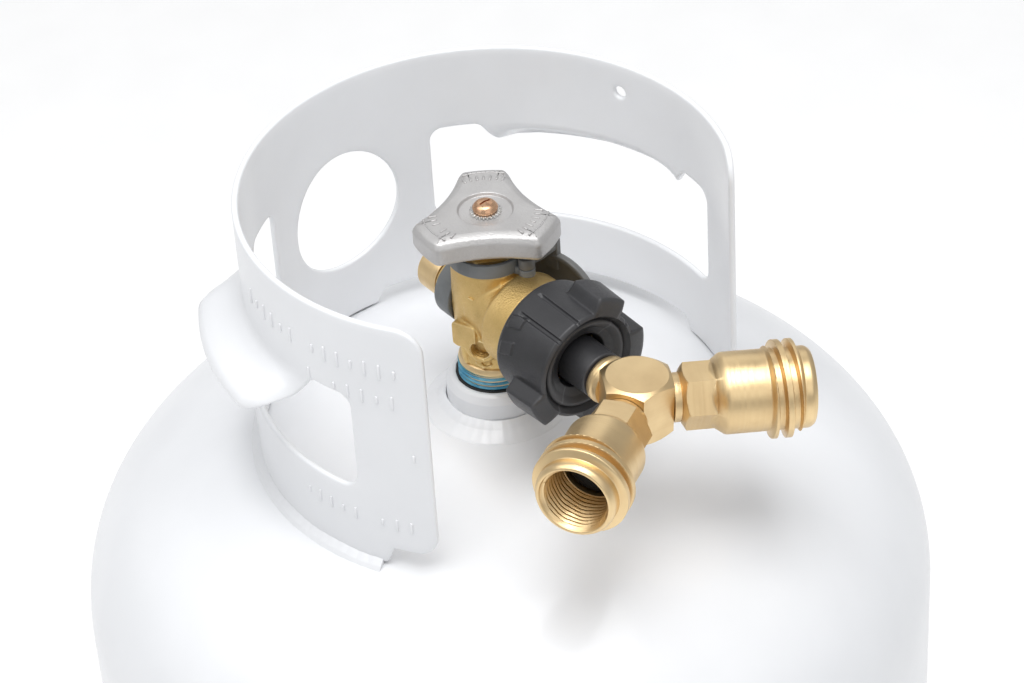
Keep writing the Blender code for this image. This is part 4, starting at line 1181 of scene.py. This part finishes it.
def build_outlet(word, turn):
    place = arm_frame(turn)
    reach = 59.2
    root, crest, pitch = 13.9, 16.65, 5.08
    thread_start, thread_end, run_out = 43.2, 54.9, 1.6
    flat, hex_r, hex_end = 10.0, 11.55, 25.6

    def formed(angle, radius, height):
        across = hex_reach(angle, flat)
        on_hex = (height > 14.2) & (height < hex_end + 0.1) & (radius > 8.6)
        cone = np.minimum(9.8 + 0.79 * (height - 23.8), radius)
        radius = np.where(on_hex, np.maximum(np.minimum(radius, across), cone), radius)
        phase = helix(angle, height - thread_start, pitch)
        wave = np.abs((phase % 1.0) - 0.5) * pitch
        tooth = 1 - smoothstep(wave, 0.95, 1.62)
        cover = smoothstep(height, thread_start, thread_start + run_out)
        cover = cover * (1 - smoothstep(height, thread_end - run_out, thread_end))
        on_thread = (height > thread_start - 0.1) & (height < thread_end + 0.1) & (radius > 13.0)
        radius = np.where(on_thread, root + (crest - root) * tooth * cover, radius)
        fine = helix(angle, height - 38, FINE_PITCH)
        groove = 0.62 * (1 - np.abs((fine % 1.0) * 2 - 1))
        inside_bore = (radius < 11.6) & (radius > 10.0) & (height > 40.6) & (height < reach - 0.4)
        return np.where(inside_bore, radius + groove, radius), height

    outline = fillet([(3.6, 11.8, 0), (8.4, 11.8, 0), (8.4, 14.4, 0.2)])
    outline += [(r, z) for r, z in zip(np.linspace(8.6, hex_r, 9), np.linspace(14.5, 16.2, 9))]
    outline += [(hex_r, z) for z in np.linspace(16.5, hex_end, 24)]
    outline += fillet([(hex_r, hex_end + 0.1, 0), (13.9, 29.0, 2.5), (13.9, 42.9, 0)], 5)
    outline += [(root, z) for z in np.linspace(thread_start, thread_end, 118)]
    mouth = [(13.9, 55.1, 0), (13.9, reach - 1.6, 2.2), (12.9, reach - 0.1, 1.2)]
    outline += fillet(mouth + [(12.1, reach, 0.5), (11.3, reach - 1.3, 0)], 5)
    outline += [(10.75, z) for z in np.linspace(reach - 1.7, 40.6, 84)]
    outline += [(10.7, 39.8), (10.7, 33.5), (3.6, 33.0)]
    node = f"{word}_outlet"
    skin = lathe(outline, 264, formed)
    piece(f"{node}_skin", *skin, "machined_brass", "splitter", [node], place, crease=50)
    seal = [(4.4, 33.8, 0.2), (10.4, 33.8, 0.2), (10.4, 38.6, 0.6)]
    seal += [(8.6, 39.2, 0.8), (6.0, 37.5, 1.0), (4.4, 37.0, 0.4)]
    turned(f"{word}_seal_skin", seal, "black_rubber", "splitter", [f"{node}_seal"], place, 72)


# ---------------------------------------------------------------- studio

def build_studio():
    bpy.ops.mesh.primitive_grid_add(x_subdivisions=2, y_subdivisions=2, size=12)
    floor = bpy.context.object
    floor.name = "studio_floor"
    floor.location = (0, 0, -0.0004)
    pale = surface("floor_paper", ((0.93, 0.93, 0.93), (0.95, 0.95, 0.95)), (0.75, 0.85), (300, 0.02))
    glow = pale.node_tree.nodes["Principled BSDF"]
    glow.inputs["Emission Color"].default_value = (1.0, 1.0, 1.0, 1.0)
    glow.inputs["Emission Strength"].default_value = 0.12
    floor.data.materials.append(pale)

    scene = bpy.context.scene
    world = bpy.data.worlds.new("studio")
    world.use_nodes = True
    back = world.node_tree.nodes["Background"]
    back.inputs["Color"].default_value = (0.975, 0.985, 1.0, 1.0)
    back.inputs["Strength"].default_value = 0.46
    scene.world = world

    def softbox(name, place, size, power):
        light = bpy.data.lights.new(name, "AREA")
        light.shape = "RECTANGLE"
        light.size, light.size_y = size
        light.energy = power
        item = bpy.data.objects.new(name, light)
        item.location = place
        item.rotation_mode = "QUATERNION"
        item.rotation_quaternion = (Vector((0, 0, 0.35)) - Vector(place)).to_track_quat("-Z", "Y")
        scene.collection.objects.link(item)

    softbox("left_box", (-0.9, 0.3, 1.7), (1.2, 1.2), 8.0)
    softbox("top_box", (-0.1, -0.3, 1.9), (1.0, 1.0), 17.0)
    softbox("back_box", (0.94, 1.29, 1.6), (1.4, 1.0), 2.6)
    softbox("front_box", (-0.4, -1.6, 1.3), (1.2, 0.9), 2.8)
    softbox("right_box", (0.55, -0.95, 1.6), (1.2, 0.9), 0.8)

    scene.view_settings.view_transform = "Standard"


def build_camera():
    """The photo's camera: it looks down at the valve from the front left."""
    facing, drop, roll = math.radians(54.0), math.radians(37.76), math.radians(3.70)
    away = Vector((math.cos(facing), math.sin(facing), 0))
    right = Vector((math.sin(facing), -math.cos(facing), 0))
    forward = away * math.cos(drop) - Vector((0, 0, math.sin(drop)))
    upward = away * math.sin(drop) + Vector((0, 0, math.cos(drop)))
    x = right * math.cos(roll) - upward * math.sin(roll)
    y = right * math.sin(roll) + upward * math.cos(roll)
    lens = bpy.data.cameras.new("camera")
    lens.lens = 119.74
    lens.clip_start, lens.clip_end = 0.05, 30.0
    camera = bpy.data.objects.new("camera", lens)
    aside, back_off, eye_height = 6.2, 948.59, 1116.5
    eye = right * aside - away * back_off + Vector((0, 0, eye_height))
    camera.matrix_world = axis_frame(eye, x, y, forward * -1)
    bpy.context.scene.collection.objects.link(camera)
    bpy.context.scene.camera = camera


build_vessel()
build_neck()
build_foot()
build_collar()
build_collar_marks()
build_valve_body()
build_bonnet()
build_wheel()
build_relief()
build_retainer()
build_dust_cap()
build_nut()
build_nipple()
build_hub()
build_outlet("right", -30.0)
build_outlet("front", -150.0)
keep(
    "stem_seal", "gland_ring", "seat_plug", "seat_disc", "check_body", "check_plunger", "check_spring",
    "outlet_seal", "dip_tube", "relief_poppet", "relief_spring", "opd_housing", "opd_piston", "float_pin",
    "float_arm", "float", "float_clip", "nipple_oring",
)
build_studio()
build_camera()

bpy.context.view_layer.update()
